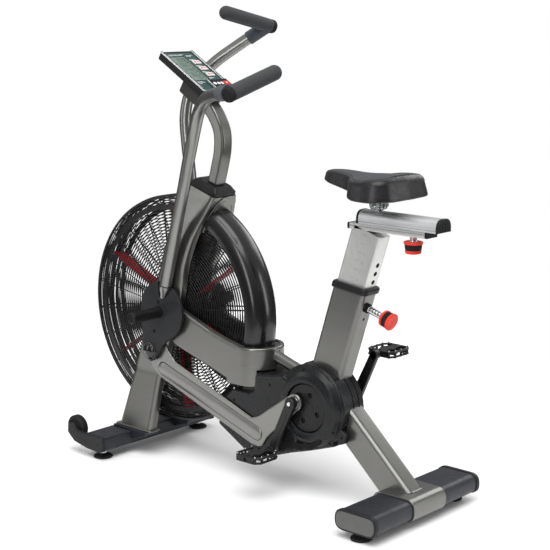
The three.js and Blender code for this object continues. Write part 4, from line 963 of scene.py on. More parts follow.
def rotor():
    hub = [(14.2, -30), (54, -30), (66, -19), (66, 19), (54, 30), (14.2, 30)]
    make("fan_hub", hoop(hub, 4, 4, about_y(*FAN)), "trim", "fan", ("fan_rotor", "fan_pulley"))
    blades, arms = [], []
    for i in range(BLADES):
        a = BLADE_FIRST + i * 2 * pi / BLADES
        spoke = (cos(a), 0, sin(a)), (0, 1, 0), (-sin(a), 0, cos(a))
        to = axes((FAN[0], 0, FAN[1]), *spoke)
        sheet = rounded([(96, -19), (130, -BLADE_HALF), (BLADE_R - 0.5, -BLADE_HALF),
                         (BLADE_R - 0.5, BLADE_HALF), (130, BLADE_HALF), (96, 19)], 5, 4)
        blades.append(slab(sheet, -1.2, 1.2, to, 0.5))
        blades += [slab(box_of(128, v - 1.6, 306, v + 1.6, 1), 1, 2, to, 0.4) for v in (-16, 16)]
        arms.append(slab(box_of(58, -7, 200, 7, 3), 1.1, 5.0, to, 1))
        arms += [slab(hex_points(4.4), 5, 8.4, axes(to(r, 0, 0), *spoke), 0.8) for r in (112, 150, 188)]
    make("fan_blades", merge(*blades), "blade", "fan")
    make("fan_blade_arms", merge(*arms), "trim", "fan")
    band = [(316.2, -9), (319.4, -9), (319.4, 9), (316.2, 9)]
    make("fan_band", hoop(band, 0.8, 3, about_y(*FAN), 120), "trim", "fan")
    sleeve = [(9.2, -36), (13.5, -36), (13.5, 54.4), (12, 55.2), (12, 65.8), (9.2, 65.8), (9.2, -36)]
    make("fan_sleeve", lathe(sleeve, about_y(*FAN), 40), "steel", "fan")
    axle = [(0, -77), (8.4, -77), (8.4, 77), (0, 77)]
    make("axle_bar", turned(axle, 0.8, 3, about_y(*FAN), 32), "steel", stands_for="fan_axle")


def fender():
    """Round-backed guard over the rear of the cage, from the bow up to the neck."""
    def lip(radial, across):
        out, n = [], 28
        for i in range(n + 1):
            a = -pi / 2 + pi * i / n
            c, d = abs(cos(a)) ** 0.8, abs(sin(a)) ** 0.8
            out.append((305.5 + radial * c, across * d * (1 if a > 0 else -1)))
        return out

    section = lip(52.3, 52.5) + lip(50.6, 50.7)[::-1]
    low, high, steps = radians(-13), radians(64.5), 88
    nose, slope = Vector((-210.0, 731.5)), Vector((44.5, 85)).normalized()
    out = Vector((slope.y, -slope.x))
    rings = []
    for i in range(steps + 1):
        a = low + (high - low) * i / steps
        ring = []
        for r, y in section:
            x, z = FAN[0] + r * cos(a), max(FAN[1] + r * sin(a), 389.6)
            short = max(0, 0.8 - (Vector((x, z)) - nose).dot(out))
            ring.append((x + out.x * short, y, z + out.y * short))
        rings.append(ring)
    make("fender_shell", skin(rings), "fender", stands_for="fan_fender", angle=60)
    foot = [(-4, -53.5)] + [(-6 + 33 * sin(a), -53.5 * cos(a)) for a in (pi * i / 28 for i in range(1, 28))]
    foot += [(-4, 53.5), (-48, 53.5), (-48, -53.5)]
    make("fender_foot", slab(foot, 388.8, 392.6, PLAN, 1.2), "fender")
    # dark end dome and the plate that closes the neck behind it
    back = axes((nose.x, 0, nose.y), (0, 1, 0), (slope.x, 0, slope.y), (out.x, 0, out.y))
    plate = rounded([(-45, -34, 4), (45, -34, 4), (46, 22, 30), (30, 66, 26), (0, 88, 16), (-30, 66, 26),
                     (-46, 22, 30)], 8, 8)
    make("neck_back", slab(plate, -5, -1.4, back, 1.2), "frame")
    arch = rounded([(-37, -34, 4), (37, -34, 4), (37, 20, 26), (22, 58, 22), (0, 76, 8), (-22, 58, 22),
                    (-37, 20, 26)], 8, 8)
    make("neck_arch", slab(arch, -3, -0.4, back, 0.8), "frame")
    round_top = [(-35 * cos(a), -8 + 36 * sin(a)) for a in (pi * i / 24 for i in range(25))]
    dome = [(-35, -34), *round_top, (35, -34)]
    make("fender_cap", slab(dome, -1, 5.5, back, 2.5, low_bevel=0), "collar")
    cap_screw(back(20, 8, 5), facing(back), 3.4, 1.2, "shadow", "fender_screw")


# ------------------------------------------------------------------ crank housing and drive
HOUSING = arc_points(CRANK, 120, 138, -8, 24)
HOUSING += [(286, 166, 20), (200, 136, 60), (85, 101, 14), (-26, 87, 16), (-139, 150, 14), (-122, 231, 14),
            (-58, 273, 12), (-52, 327, 6), (40, 327, 22)]
NOSE = [(-139, 150, 12), (-122, 231, 12), (-84, 266, 16), (-22, 266, 22), (2, 280, 18), (6, 326, 12),
        (60, 332, 14), (112, 342, 10)]
NOSE += arc_points(CRANK, 77, 126, 6, 21)
NOSE += [(166, 130, 10), (85, 101, 20), (-26, 87, 14)]


def housing():
    full = rounded(HOUSING, 0, 6)
    for word, k in SIDES:
        m = mirror(k)
        deep = 58 if k < 0 else 37
        nodes = "crank_housing_left" if k < 0 else ("crank_housing_right", "drive_belt")
        make(f"housing_shell_{word}", slab(full, 0.3, deep, SIDE, 8, steps=6, low_bevel=0), "housing",
             stands_for=nodes, move=m, angle=50)
        rise = [(119.4, 16), (119.4, 40), (117.5, 52), (112, 63.5), (102, 72.5), (90, 77.2), (80, 78.6),
                (71.4, 78.8), (69.6, 77), (69.6, 60)] if k < 0 else \
               [(78, 30), (78, 70), (76.4, 76), (73, 78.6), (70.6, 78.6), (69.6, 77), (69.6, 60)]
        make(f"housing_ring_{word}", turned(rise, 7 if k < 0 else 1.5, 6, about_y(*CRANK), 112), "housing",
             move=m, angle=50)
        # dark disc behind the crank disc: painted shade at the bottom of the housing's recess
        floor = [(0, 60), (69.7, 60), (69.7, 62), (0, 62)]
        make(f"housing_floor_{word}", lathe(floor, about_y(*CRANK), 72), "shadow", move=m)
        make(f"housing_nose_{word}", slab(rounded(NOSE, 0, 6), 30, 76.4, SIDE, 10, steps=8, low_bevel=0),
             "housing", move=m, angle=50)
        # the seam around the rim
        seam = [(x, 12, z) for x, z in arc_points(CRANK, 121.05, 128, -6, 38)]
        make(f"housing_rim_seam_{word}", sweep(seam, ring_points(0.9, 6), (0, 1, 0)), "shadow", move=m)
    # dark sheet in the slot: painted shade inside the opening
    slot = rounded([(104, 135, 3), (222, 149, 8), (256, 174, 6), (248, 186, 5), (212, 163, 8),
                    (104, 150, 3)], 4, 5)
    make("housing_slot_shade", slab(slot, 72.5, 76.7, SIDE, 0.3), "shadow", move=mirror(-1))
    for i, (x, z) in enumerate(((122, 139), (2, 122), (-96, 172), (-72, 236), (66, 306))):
        cap_screw((x, 76.2, z), (0, 1, 0), 4.4, 1.5, "shadow", f"housing_screw_{i}", move=mirror(-1))
    for i, a in enumerate((98, 20, -30)):
        at = (CRANK[0] + 108 * cos(radians(a)), 69.0, CRANK[1] + 108 * sin(radians(a)))
        cap_screw(at, (0.5 * cos(radians(a)), 0.85, 0.5 * sin(radians(a))), 3.6, 0.9, "shadow",
                  f"housing_ring_screw_{i}", move=mirror(-1))
    tab = rounded([(296, 172), (324, 184), (326, 206), (304, 220), (292, 214)], 7, 6)
    make("housing_tab", slab(tab, 40, 56, SIDE, 4), "housing", move=mirror(-1))
    cap_screw((311, 55.6, 198), (0, 1, 0), 4.4, 1.5, "shadow", "housing_tab_screw", move=mirror(-1))


def on_crank(k, r, angle):
    """A point that turns with the cranks; the right side's is opposite the left's."""
    return (CRANK[0] - k * r * cos(angle), CRANK[1] - k * r * sin(angle))


def pin_at(k):
    return on_crank(k, ECCENTRIC, PIN_ANGLE)


def pedal_at(k):
    return on_crank(k, PEDAL_CRANK, PEDAL_ANGLE)


def hull_of_two(a, ra, b, rb):
    """Outline around two discs."""
    d, n = Vector(b) - Vector(a), 28
    along_angle, spread = atan2(d.y, d.x), acos((ra - rb) / d.length)
    out = [(a[0] + ra * cos(t), a[1] + ra * sin(t)) for t in
           (along_angle + spread + (2 * pi - 2 * spread) * i / n for i in range(n + 1))]
    out += [(b[0] + rb * cos(t), b[1] + rb * sin(t)) for t in
            (along_angle - spread + 2 * spread * i / n for i in range(n + 1))]
    return out


def drive():
    for word, k in SIDES:
        pin, pedal, m = pin_at(k), pedal_at(k), mirror(k)
        turn = degrees(PIN_ANGLE) + (0 if k < 0 else 180)
        places = arc_points(CRANK, 40, turn + 90, 90, 3)
        pockets = [ring_points(7.6, 32, *at) for at in places]
        nodes = [f"crank_disc_{word}"] + (["crank_spindle"] if k < 0 else [])
        disc = slab(ring_points(67.3, 96, *CRANK), 66.2, 72.6, SIDE, 1.2, holes=pockets)
        make(f"drive_disc_{word}", disc, "disc", "crank", nodes, m)
        # pocket floors in the near-black shadow finish: painted shade at the bottom of the pockets
        pocket_shades = [slab(ring_points(7.3, 28, *at), 66.2, 68.4, SIDE, 0.6) for at in places]
        make(f"drive_disc_pocket_shade_{word}", merge(*pocket_shades), "shadow", "crank", move=m)
        rim = [(61.5, 72), (66.8, 72), (66.4, 73.4), (62, 73.4)]
        rib = [(22, 72), (26, 72), (25.6, 73.3), (22.4, 73.3)]
        make(f"drive_disc_rim_{word}", merge(hoop(rim, 0.5, 3, about_y(*CRANK), 96),
                                             hoop(rib, 0.4, 3, about_y(*CRANK), 64)), "disc", "crank",
             move=m)
        stub = [(0, 71), (19, 71), (19, 78.4), (0, 78.4)]
        make(f"pin_stub_{word}", turned(stub, 1, 3, about_y(*pin), 48), "crank", "crank", move=m)
        blade = hull_of_two(pin, 16, pedal, 12.5)
        make(f"crank_blade_{word}", slab(blade, 90, 105.6, SIDE, 3.2), "crank", "crank",
             f"crank_arm_{word}", m)
        groove = hull_of_two(tuple(Vector(pin).lerp(Vector(pedal), 0.22)), 6.5,
                             tuple(Vector(pin).lerp(Vector(pedal), 0.84)), 4.5)
        make(f"crank_panel_{word}", slab(groove, 105.2, 106.3, SIDE, 0.9), "crank", "crank", move=m)
        boss = [(0, 89.6), (15.6, 89.6), (17.4, 92), (17.4, 105), (15.4, 107.6), (9.4, 108), (8.6, 106),
                (0, 106)]
        make(f"crank_boss_{word}", turned(boss, 1.2, 4, about_y(*pin), 64), "crank", "crank", move=m)
        bolt = slab(hex_points(6.4), 105.6, 109.8, along((pin[0], 0, pin[1]), (pin[0], 1, pin[1])), 0.9)
        make(f"crank_bolt_{word}", bolt, "chrome", "crank", move=m)
        ring = [(11, 87.6), (18, 87.6), (18, 89.8), (11, 89.8)]
        make(f"crank_ring_{word}", hoop(ring, 0.5, 3, about_y(*pin), 64), "chrome", "crank", move=m)
        eye = [(0, 90), (13.6, 90), (13.6, 106.6), (11.5, 107.8), (8, 107.8), (7, 107), (0, 107)]
        make(f"pedal_eye_{word}", turned(eye, 0.9, 3, about_y(*pedal), 48), "crank", "crank", move=m)


def pedal(word, k):
    cx, cz = pedal_at(k)
    m = mirror(k)

    def here(points):
        return [(cx + x, y, *r) for x, y, *r in points]
    outer = rounded(here([(-37, 114), (37, 114), (47, 130), (47, 194), (33, 210), (-33, 210), (-47, 194),
                          (-47, 130)]), 5, 5)
    wells = []
    for s in (-1, 1):
        well = [(s * 13.5, 124.5, 4), (s * 29, 124.5, 3), (s * 38, 135, 5), (s * 38, 189, 5),
                (s * 27, 199.5, 4), (s * 13.5, 199.5, 4), (s * 13.5, 176, 0.1), (s * 19, 170, 2),
                (s * 19, 154, 2), (s * 13.5, 148, 0.1)]
        wells.append(rounded(here(well), 3, 4))
    for level, lo, hi in (("top", cz + 4.6, cz + 9), ("low", cz - 9, cz - 4.6)):
        make(f"pedal_cage_{level}_{word}", slab(outer, lo, hi, PLAN, 1.5, holes=wells, steps=4), "pedal",
             f"pedal_{word}", f"pedal_{word}" if level == "top" else (), m, angle=50)
    barrel = [(0, 108.6), (6.4, 108.6), (6.4, 113), (10, 114), (11.6, 122), (8.8, 134), (8.8, 186),
              (11, 196), (11, 205), (0, 205)]
    make(f"pedal_barrel_{word}", turned(barrel, 1.5, 4, about_y(cx, cz), 40), "pedal", f"pedal_{word}",
         move=m)
    cross, pins = [], []
    for s in (-1, 1):
        for y in (142, 180):
            cross.append(slab(here([(s * 9, y - 2.2), (s * 40, y - 2.2), (s * 40, y + 2.2),
                                    (s * 9, y + 2.2)][::s]), cz - 5, cz + 5, PLAN, 1))
        for y in (117, 162, 206):
            cross.append(slab(here([(s * 6, y - 2.6), (s * 30, y - 2.6), (s * 30, y + 2.6),
                                    (s * 6, y + 2.6)][::s]), cz - 5.2, cz + 5.2, PLAN, 1))
        for x, y in ((33, 119), (42.4, 136), (42.4, 162), (42.4, 188), (33, 205)):
            centre = (cx + s * x, y, cz)
            up = about_z(*centre)
            cross.append(lathe([(0, -5.4), (3.4, -5.4), (3.4, 5.4), (0, 5.4)], up, 18))
            pins.append(lathe([(0, -12.4), (1.5, -12.4), (2, -11.8), (2, 11.8), (1.5, 12.4), (0, 12.4)],
                              up, 14))
    make(f"pedal_webs_{word}", merge(*cross), "pedal", f"pedal_{word}", move=m)
    make(f"pedal_pins_{word}", merge(*pins), "chrome", f"pedal_{word}", move=m)


# ------------------------------------------------------------------ levers
LEVER_LINE = [(-353, 97, 462), (-353, 97, 490), (-352, 98, 548), (-348, 104, 644), (-341, 113, 760),
              (-334, 121, 862), (-330, 127, 950), (-321, 136, 1034), (-296, 160, 1106), (-238, 205, 1165),
              (-163, 253, 1205), (-100, 287, 1231)]
BAR_OUT, BAR_IN = Vector((-62, 324, 1237.5)), Vector((-76, 140, 1287))
BALL = (FAN[0] - BALL_R * sin(BALL_LEAD), FAN[1] - BALL_R * cos(BALL_LEAD))


def rocker_outline():
    """Round cover with a V notch at the top, running down into a lobe around the link pivot."""
    rear, front = (arc_points(HEAD, HEAD_R, a, (b - a) / n, n + 1) for a, b, n in
                   ((-36, 71, 44), (114, 208, 40)))
    lobe = arc_points(BALL, LOBE_R, 184, 172 / 30, 31)
    notch = [(FAN[0] + 4, FAN[1] + 43, 5), (FAN[0] - 11, FAN[1] + 43, 5)]
    return rounded([*rear, *notch, *front, *lobe, (FAN[0] + 42, FAN[1] - 86, 60)], 0, 12)


def rocker(word, k):
    move, body = lean(k), f"{word}_lever"
    make(f"rocker_plate_{word}", slab(rocker_outline(), 88.8, 98.9, SIDE, 3.4, steps=6, low_bevel=0.8),
         "rocker", body, f"rocker_{word}", move, angle=60)
    make(f"rocker_back_{word}", slab(ring_points(64, 80, *FAN), 79.3, 89, SIDE, 0.6, low_bevel=2), "rocker",
         body, move=move)
    floor = ring_points(84, 72, *HEAD)
    make(f"rocker_floor_{word}", slab(floor, 88.7, 91.5, SIDE, 0.5), "rocker", body, move=move)
    for place, x, z in (("top", -11, 29), ("low", -5, -65)):
        cap_screw((FAN[0] + x, 98.8, FAN[1] + z), (0, 1, 0), 5.2, 1.6, "shadow",
                  f"rocker_screw_{word}_{place}", body, move)
    rim = [(22.5, 98), (28.6, 98), (28, 100.8), (26, 102), (23.6, 101.8)]
    make(f"ball_rim_{word}", hoop(rim, 1.1, 5, about_y(*BALL), 72), "gloss_cap", body, move=move)
    dome = [(23.4 * cos(a), 99.4 + 11.2 * sin(a)) for a in (radians(5.625 * i) for i in range(16))]
    make(f"ball_cap_{word}", lathe([(0, 97), (23.4, 97), *dome, (0, 110.6)], about_y(*BALL), 72),
         "gloss_cap", body, move=move)
    hub = [(17.6, 98.4), (23, 98.4), (22, 100.6), (18.8, 101)]
    make(f"rocker_hub_{word}", hoop(hub, 0.9, 4, about_y(*FAN), 64), "rocker", body, move=move)


def lever(word, k):
    move, body = lean(k), f"{word}_lever"
    line = curve_through(LEVER_LINE, 9)
    tube = [p for p in line if p.z > 540]
    make(f"lever_bar_{word}", sweep(tube, ring_points(17.8, 40), (1, 0, 0)), "lever", body,
         f"lever_tube_{word}", move, angle=60)
    tip = []
    for i in range(13):
        t = i / 12
        ease = t * t * (3 - 2 * t)
        x, y, z = -353 - 8 * t, 97.4 - 2.6 * t, 543 - 44 * t
        wide, deep = 17.7 - 9.5 * ease, 17.7 - 14 * ease
        tip.append([(x + wide * u, y + deep * v, z) for u, v in ring_points(1, 36)])
    make(f"lever_tip_{word}", skin(tip), "lever", body, move=move, angle=60)
    long = (BAR_IN - BAR_OUT).length
    to = along(tuple(BAR_OUT), tuple(BAR_IN))
    bulge = [(20.8 * sin(a), long + 20.4 * cos(a)) for a in (radians(90 - 90 * i / 10) for i in range(11))]
    profile = [(19.5, 16), (20.6, 18), (20.9, 30), (20.9, long - 14), *bulge[:-1], (0, long + 20.4)]
    sleeve = make(f"grip_foam_{word}", lathe([(0, 16), *profile], to, 64), "grip", body, f"grip_{word}",
                  move, angle=50)
    cap = [(0, 0), (14, 0), (19, 2.2), (20.8, 7), (21, 12), (21, 15.4), (20, 16.2), (0, 16.2)]
    make(f"grip_end_{word}", turned(cap, 1.2, 4, to, 64), "grip_cap", body, move=move)
    start, end = Vector((-128, 272, 1219.5)), Vector((-76, 300, 1241))
    collar = along(tuple(start), tuple(end))
    reach = (end - start).length
    wrap = [(16.8, 0.5), (20.4, 0.5), (21, 3), (21, reach), (16.8, reach)]
    make(f"grip_collar_{word}", hoop(wrap, 1.2, 4, collar, 56), "grip_sleeve", body, move=move)


def foot_peg(word, k):
    to = about_y(*FAN)
    tube = [(0, 78.6), (11.8, 78.6), (11.8, 100), (16.9, 101), (16.9, 210), (14.8, 213.6), (12.6, 213.6),
            (12.2, 211.5), (0, 211.2)]
    make(f"peg_tube_{word}", turned(tube, 0.9, 4, to, 64), "peg", stands_for=f"foot_peg_{word}",
         move=mirror(k))
    for i, y in enumerate((104, 205)):
        band = [(16.6, y), (17, y + 0.4), (17, y + 3), (16.6, y + 3.4)]
        make(f"peg_band_{word}_{i}", hoop(band, 0.2, 2, to, 64), "rocker", move=mirror(k))
    # dark disc on the peg: painted shade where a hole is
    hole = along((FAN[0], 192, FAN[1] + 16.6), (FAN[0], 192, FAN[1] + 17.4))
    make(f"peg_hole_{word}", lathe([(0, 0), (2.6, 0), (2.6, 0.35), (0, 0.35)], hole, 24), "shadow",
         move=mirror(k))


def link(word, k):
    """Pressed bar from the rocker to the eccentric pin, with a full raised channel along it."""
    m, body = mirror(k), f"{word}_link"
    c = Vector(pin_at(k))
    tilt = BALL_LEAD + (LEVER_TILT if k < 0 else -LEVER_TILT)
    b = Vector((FAN[0] - BALL_R * sin(tilt), FAN[1] - BALL_R * cos(tilt)))
    u = (c - b).normalized()
    n, long = Vector((-u.y, u.x)), (c - b).length

    def put(a, h, *r):
        p = b + u * a + n * h
        return (p.x, p.y, *r)
    bar = rounded([put(-14, 16, 14), put(-18, -16, 16), put(-6, -58, 24), put(34, -75, 40),
                   put(424, -170, 20), put(458, -167, 18), put(476, -132, 30), put(long + 22, -10, 16),
                   put(long + 8, 22, 16),
                   put(long - 16, 20, 16), put(440, -78, 16), put(413, -92, 14), put(92, -11, 30),
                   put(66, 10, 24), put(44, 32, 18), put(12, 26, 18)], 8, 8)
    hole = ring_points(17.6, 48, *c)
    make(f"link_plate_{word}", slab(bar, 79.8, 82.6, SIDE, 1.3, holes=[hole]), "link", body,
         f"lever_link_{word}", m, angle=50)
    rolled = [(p[0], 82.3, p[1]) for p in inset(bar if area(bar) > 0 else bar[::-1], 2.0)]
    make(f"link_rolled_edge_{word}", sweep(rolled, ring_points(1.5, 10), (0, 1, 0), loop=True), "link",
         body, move=m, angle=80)
    # half-round channel from below the ball to the lower corner, with round ends
    p0, p1, wide = Vector(put(47, -47)), Vector(put(437, -132)), 20.5
    run = (p1 - p0).normalized()
    off, length = Vector((-run.y, run.x)), (p1 - p0).length
    rings = []
    for i in range(49):
        t = 0.5 - 0.5 * cos(pi * i / 48)
        a = -wide + (length + 2 * wide) * t
        gap = max(-a, a - length, 0)
        w = (max(wide * wide - gap * gap, 0.02)) ** 0.5
        rings.append([(p0.x + run.x * a + off.x * w * cos(q), 81.4 + 6.0 * (w / wide) ** 0.7 * sin(q),
                       p0.y + run.y * a + off.y * w * cos(q)) for q in (pi * n / 24 for n in range(25))])
    make(f"link_channel_{word}", skin(rings), "link", body, move=m, angle=80)
    # dark line around the channel's foot: painted shade in the crease between channel and plate
    edge = []
    for end, way in ((p0, 1), (p1, -1)):
        for q in (pi * n / 20 for n in range(21)):
            at = end + (off * cos(q) - run * sin(q)) * wide * way
            edge.append((at.x, 82.7, at.y))
    make(f"link_channel_edge_{word}", sweep(edge, ring_points(0.7, 8), (0, 1, 0), loop=True), "shadow",
         body, move=m, angle=80)
    eye = [(17.4, 80), (25, 80), (25, 84.6), (23.4, 87.2), (19, 87.3), (17.4, 86.4)]
    make(f"link_eye_{word}", hoop(eye, 0.9, 4, about_y(*c), 64), "link", body, move=m)
    race = [(13.4, 80.2), (17.2, 80.2), (17.2, 86.8), (16, 87.2), (14.2, 87.2), (13.4, 86.6)]
    make(f"link_race_{word}", hoop(race, 0.5, 3, about_y(*c), 64), "chrome", body, move=m)
    seal = [(4, 80.6), (13.2, 80.6), (13.2, 86), (4, 86)]
    make(f"link_seal_{word}", hoop(seal, 0.5, 3, about_y(*c), 48), "shadow", body, move=m)


# ------------------------------------------------------------------ seat
def seat_post():
    tube = rect(48, 100, 10, 10)
    make("post_tube", slab(tube, 180, 533, SEAT_TUBE, 0.5), "post", "seat_post", "seat_post")
    # dark discs on the post's rear face: painted shade where the adjustment holes are
    rim = []
    for i in range(HOLES):
        s = HOLE_FIRST + HOLE_STEP * i
        p, q = SEAT_TUBE(0, 49.4, s), SEAT_TUBE(0, 50.12, s)
        rim.append(lathe([(0, 0), (6.9, 0), (6.9, 0.68), (0, 0.68)], along(p, q), 28))
    make("post_hole_shade", merge(*rim), "shadow", "seat_post")
    marks = []
    for k in (-1, 1):
        flank = axes(SEAT_TUBE(0, 0, 0), (cos(TILT), 0, -sin(TILT)), (sin(TILT), 0, cos(TILT)), (0, 1, 0))
        down = axes(SEAT_TUBE(0, 0, 0), (-sin(TILT), 0, -cos(TILT)), (cos(TILT), 0, -sin(TILT)), (0, k, 0))
        thin = (23.96, 24.09) if k > 0 else (-24.09, -23.96)
        for i in range(11):
            s, wide = HOLE_FIRST - 5 + HOLE_STEP * i, 9 if i % 2 else 13
            marks.append(slab(box_of(-6, s, -6 + wide, s + 0.9), *thin, flank, 0))
            if i < 9:
                marks.append(seven(str(i + 1), -s - 4.5, 13, 8.5, down, 23.98, 0.1))
    make("post_scale", merge(*marks), "post_mark", "seat_post")
    rail = box_of(-24, 772, 24, 789.3, 3.2, 5)
    make("under_rail_bar", slab(rail, 302, 547, FRONT, 0.8), "under_rail", "seat_post")
    for name, x0, x1 in (("front", 294.2, 302), ("rear", 547, 554.8)):
        end = box_of(-24, 772.2, 24, 789.2, 3.4, 5)
        make(f"under_rail_cap_{name}", slab(end, x0, x1, FRONT, 1.4), "rail_cap", "seat_post")
    for word, k in SIDES:
        lip = slab(box_of(304, 781.5, 545, 782.7), 23.7, 24.0, SIDE, 0)
        make(f"under_rail_line_{word}", lip, "post_mark", "seat_post", move=mirror(k))


def slider():
    half = [(29 * abs(cos(a)) ** 0.62 * (1 if cos(a) > 0 else -1), 799 + 26.6 * sin(a) ** 0.86)
            for a in (pi * i / 40 for i in range(1, 40))]
    arch = [(29, 790.2), (29, 799), *half, (-29, 799), (-29, 790.2), (-26, 790.2), (-26, 796), (26, 796),
            (26, 790.2)]
    make("slider_arch", slab(arch, 335, 585, FRONT, 0), "rail", "saddle_slide", "seat_slider", angle=40)
    for word, k in SIDES:
        # dark strip along each side of the arch: painted shade where a groove runs
        groove = slab(box_of(28.7, 795.4, 29.12, 796.6), 335.6, 584.4, FRONT, 0)
        make(f"slider_groove_shade_{word}", groove, "post_mark", "saddle_slide", move=mirror(k))
    cap = [(29.8, 790.2), (29.8, 799), *[(29.8 / 29 * x, 799 + (z - 799) * 1.03) for x, z in half],
           (-29.8, 799), (-29.8, 790.2)]
    for name, x0, x1 in (("front", 327.2, 335), ("rear", 585, 592.8)):
        make(f"slider_cap_{name}", slab(cap, x0, x1, FRONT, 2), "rail_cap", "saddle_slide", angle=50)
        face = x0 - 0.2 if name == "front" else x1 - 0.6
        teeth = [slab(box_of(y, 793, y + 2.6, 799 + 19 * sqrt(1 - (y / 29) ** 2), 0.6, 2), face, face + 0.8,
                      FRONT, 0.3) for y in (-25, -18, -11, -4, 3, 10, 17, 23)]
        make(f"slider_cap_ribs_{name}", merge(*teeth), "shadow", "saddle_slide")


def saddle_clamp():
    body = "saddle_slide"
    post = [(0, 822), (12, 822), (12, 828), (10.4, 830), (10.4, 845), (0, 845)]
    stand = about_z(CLAMP[0], 0)
    make("clamp_post", turned(post, 1, 4, stand, 48), "clamp", body)

    def toothed(a, r, h):
        return r + (0.55 * (1 if int(a / (2 * pi) * 44) % 2 else -1) if r > 12 else 0)
    for i, y in enumerate((-20, -9, 9, 20)):
        disc = [(0, y - 3.6), (14.6, y - 3.6), (15.8, y - 2.2), (15.8, y + 2.2), (14.6, y + 3.6),
                (0, y + 3.6)]
        make(f"clamp_disc_{i}", turned(disc, 0.7, 3, about_y(*CLAMP), 88, toothed), "clamp", body)
    bolt = [(0, -27), (5, -27), (6.5, -25), (6.5, 25), (5, 27), (0, 27)]
    make("clamp_bolt", turned(bolt, 0.6, 3, about_y(*CLAMP), 36), "chrome", body)
    for i, y in enumerate((-21, 21)):
        rail = curve_through([(316, y * 0.55, 864), (340, y * 0.9, 857), (366, y, 852), (400, y, 852),
                              (430, y * 1.1, 857), (452, y * 1.5, 865)], 8)
        make(f"saddle_rail_{i}", sweep(rail, ring_points(3.6, 20), (0, 1, 0)), "clamp", body)


SADDLE_PLAN = [(203, 0), (203, 16, 13), (232, 33, 26), (322, 52, 50), (358, 112, 44), (400, 122, 60),
               (444, 121, 60), (478, 92, 60), (484, 0)]
SADDLE_TOP = [(203, 920), (230, 923), (260, 923), (310, 919), (350, 916.5), (390, 920.5), (425, 926),
              (460, 925.5), (484, 918)]
SADDLE_BASE = [(203, 895), (222, 891), (270, 883), (330, 873), (372, 864), (400, 862.5), (440, 862.5),
               (484, 867)]
SADDLE_NOSE, SADDLE_TAIL = SADDLE_PLAN[0][0], SADDLE_PLAN[-1][0]


def smooth_value(points, x):
    """Value at x on a smooth line through (x, value) points."""
    for i in range(len(points) - 1):
        (x1, v1), (x2, v2) = points[i], points[i + 1]
        if x <= x2:
            t = max(0.0, (x - x1) / (x2 - x1))
            m1 = (v2 - points[i - 1][1]) / (x2 - points[i - 1][0]) * (x2 - x1) if i else v2 - v1
            m2 = ((points[i + 2][1] - v1) / (points[i + 2][0] - x1) * (x2 - x1)
                  if i + 2 < len(points) else v2 - v1)
            return (v1 * (2 * t ** 3 - 3 * t * t + 1) + m1 * (t ** 3 - 2 * t * t + t)
                    + v2 * (3 * t * t - 2 * t ** 3) + m2 * (t ** 3 - t * t))
    return points[-1][1]


def even_steps(line, count):
    """The same line in equal steps."""
    line = [Vector(p[:2]) for p in line]
    far = [0.0]
    for a, b in zip(line, line[1:]):
        far.append(far[-1] + (b - a).length)
    out, k = [], 0
    for i in range(count + 1):
        want = far[-1] * i / count
        while k < len(far) - 2 and far[k + 1] < want:
            k += 1
        out.append(line[k].lerp(line[k + 1], (want - far[k]) / max(far[k + 1] - far[k], 1e-9)))
    return out


def on_saddle(x):
    return min(max(x, SADDLE_NOSE), SADDLE_TAIL)


def wing(x):
    """0 along the nose and 1 across the wide rear."""
    t = min(1.0, max(0.0, (x - 330) / 70))
    return t * t * (3 - 2 * t)


def saddle_top(x, y):
    return smooth_value(SADDLE_TOP, on_saddle(x)) - 11 * wing(x) * (abs(y) / 122) ** 2.4


def saddle_base(x, y):
    return smooth_value(SADDLE_BASE, on_saddle(x)) - 3 * wing(x) * (1 - (abs(y) / 124) ** 2)


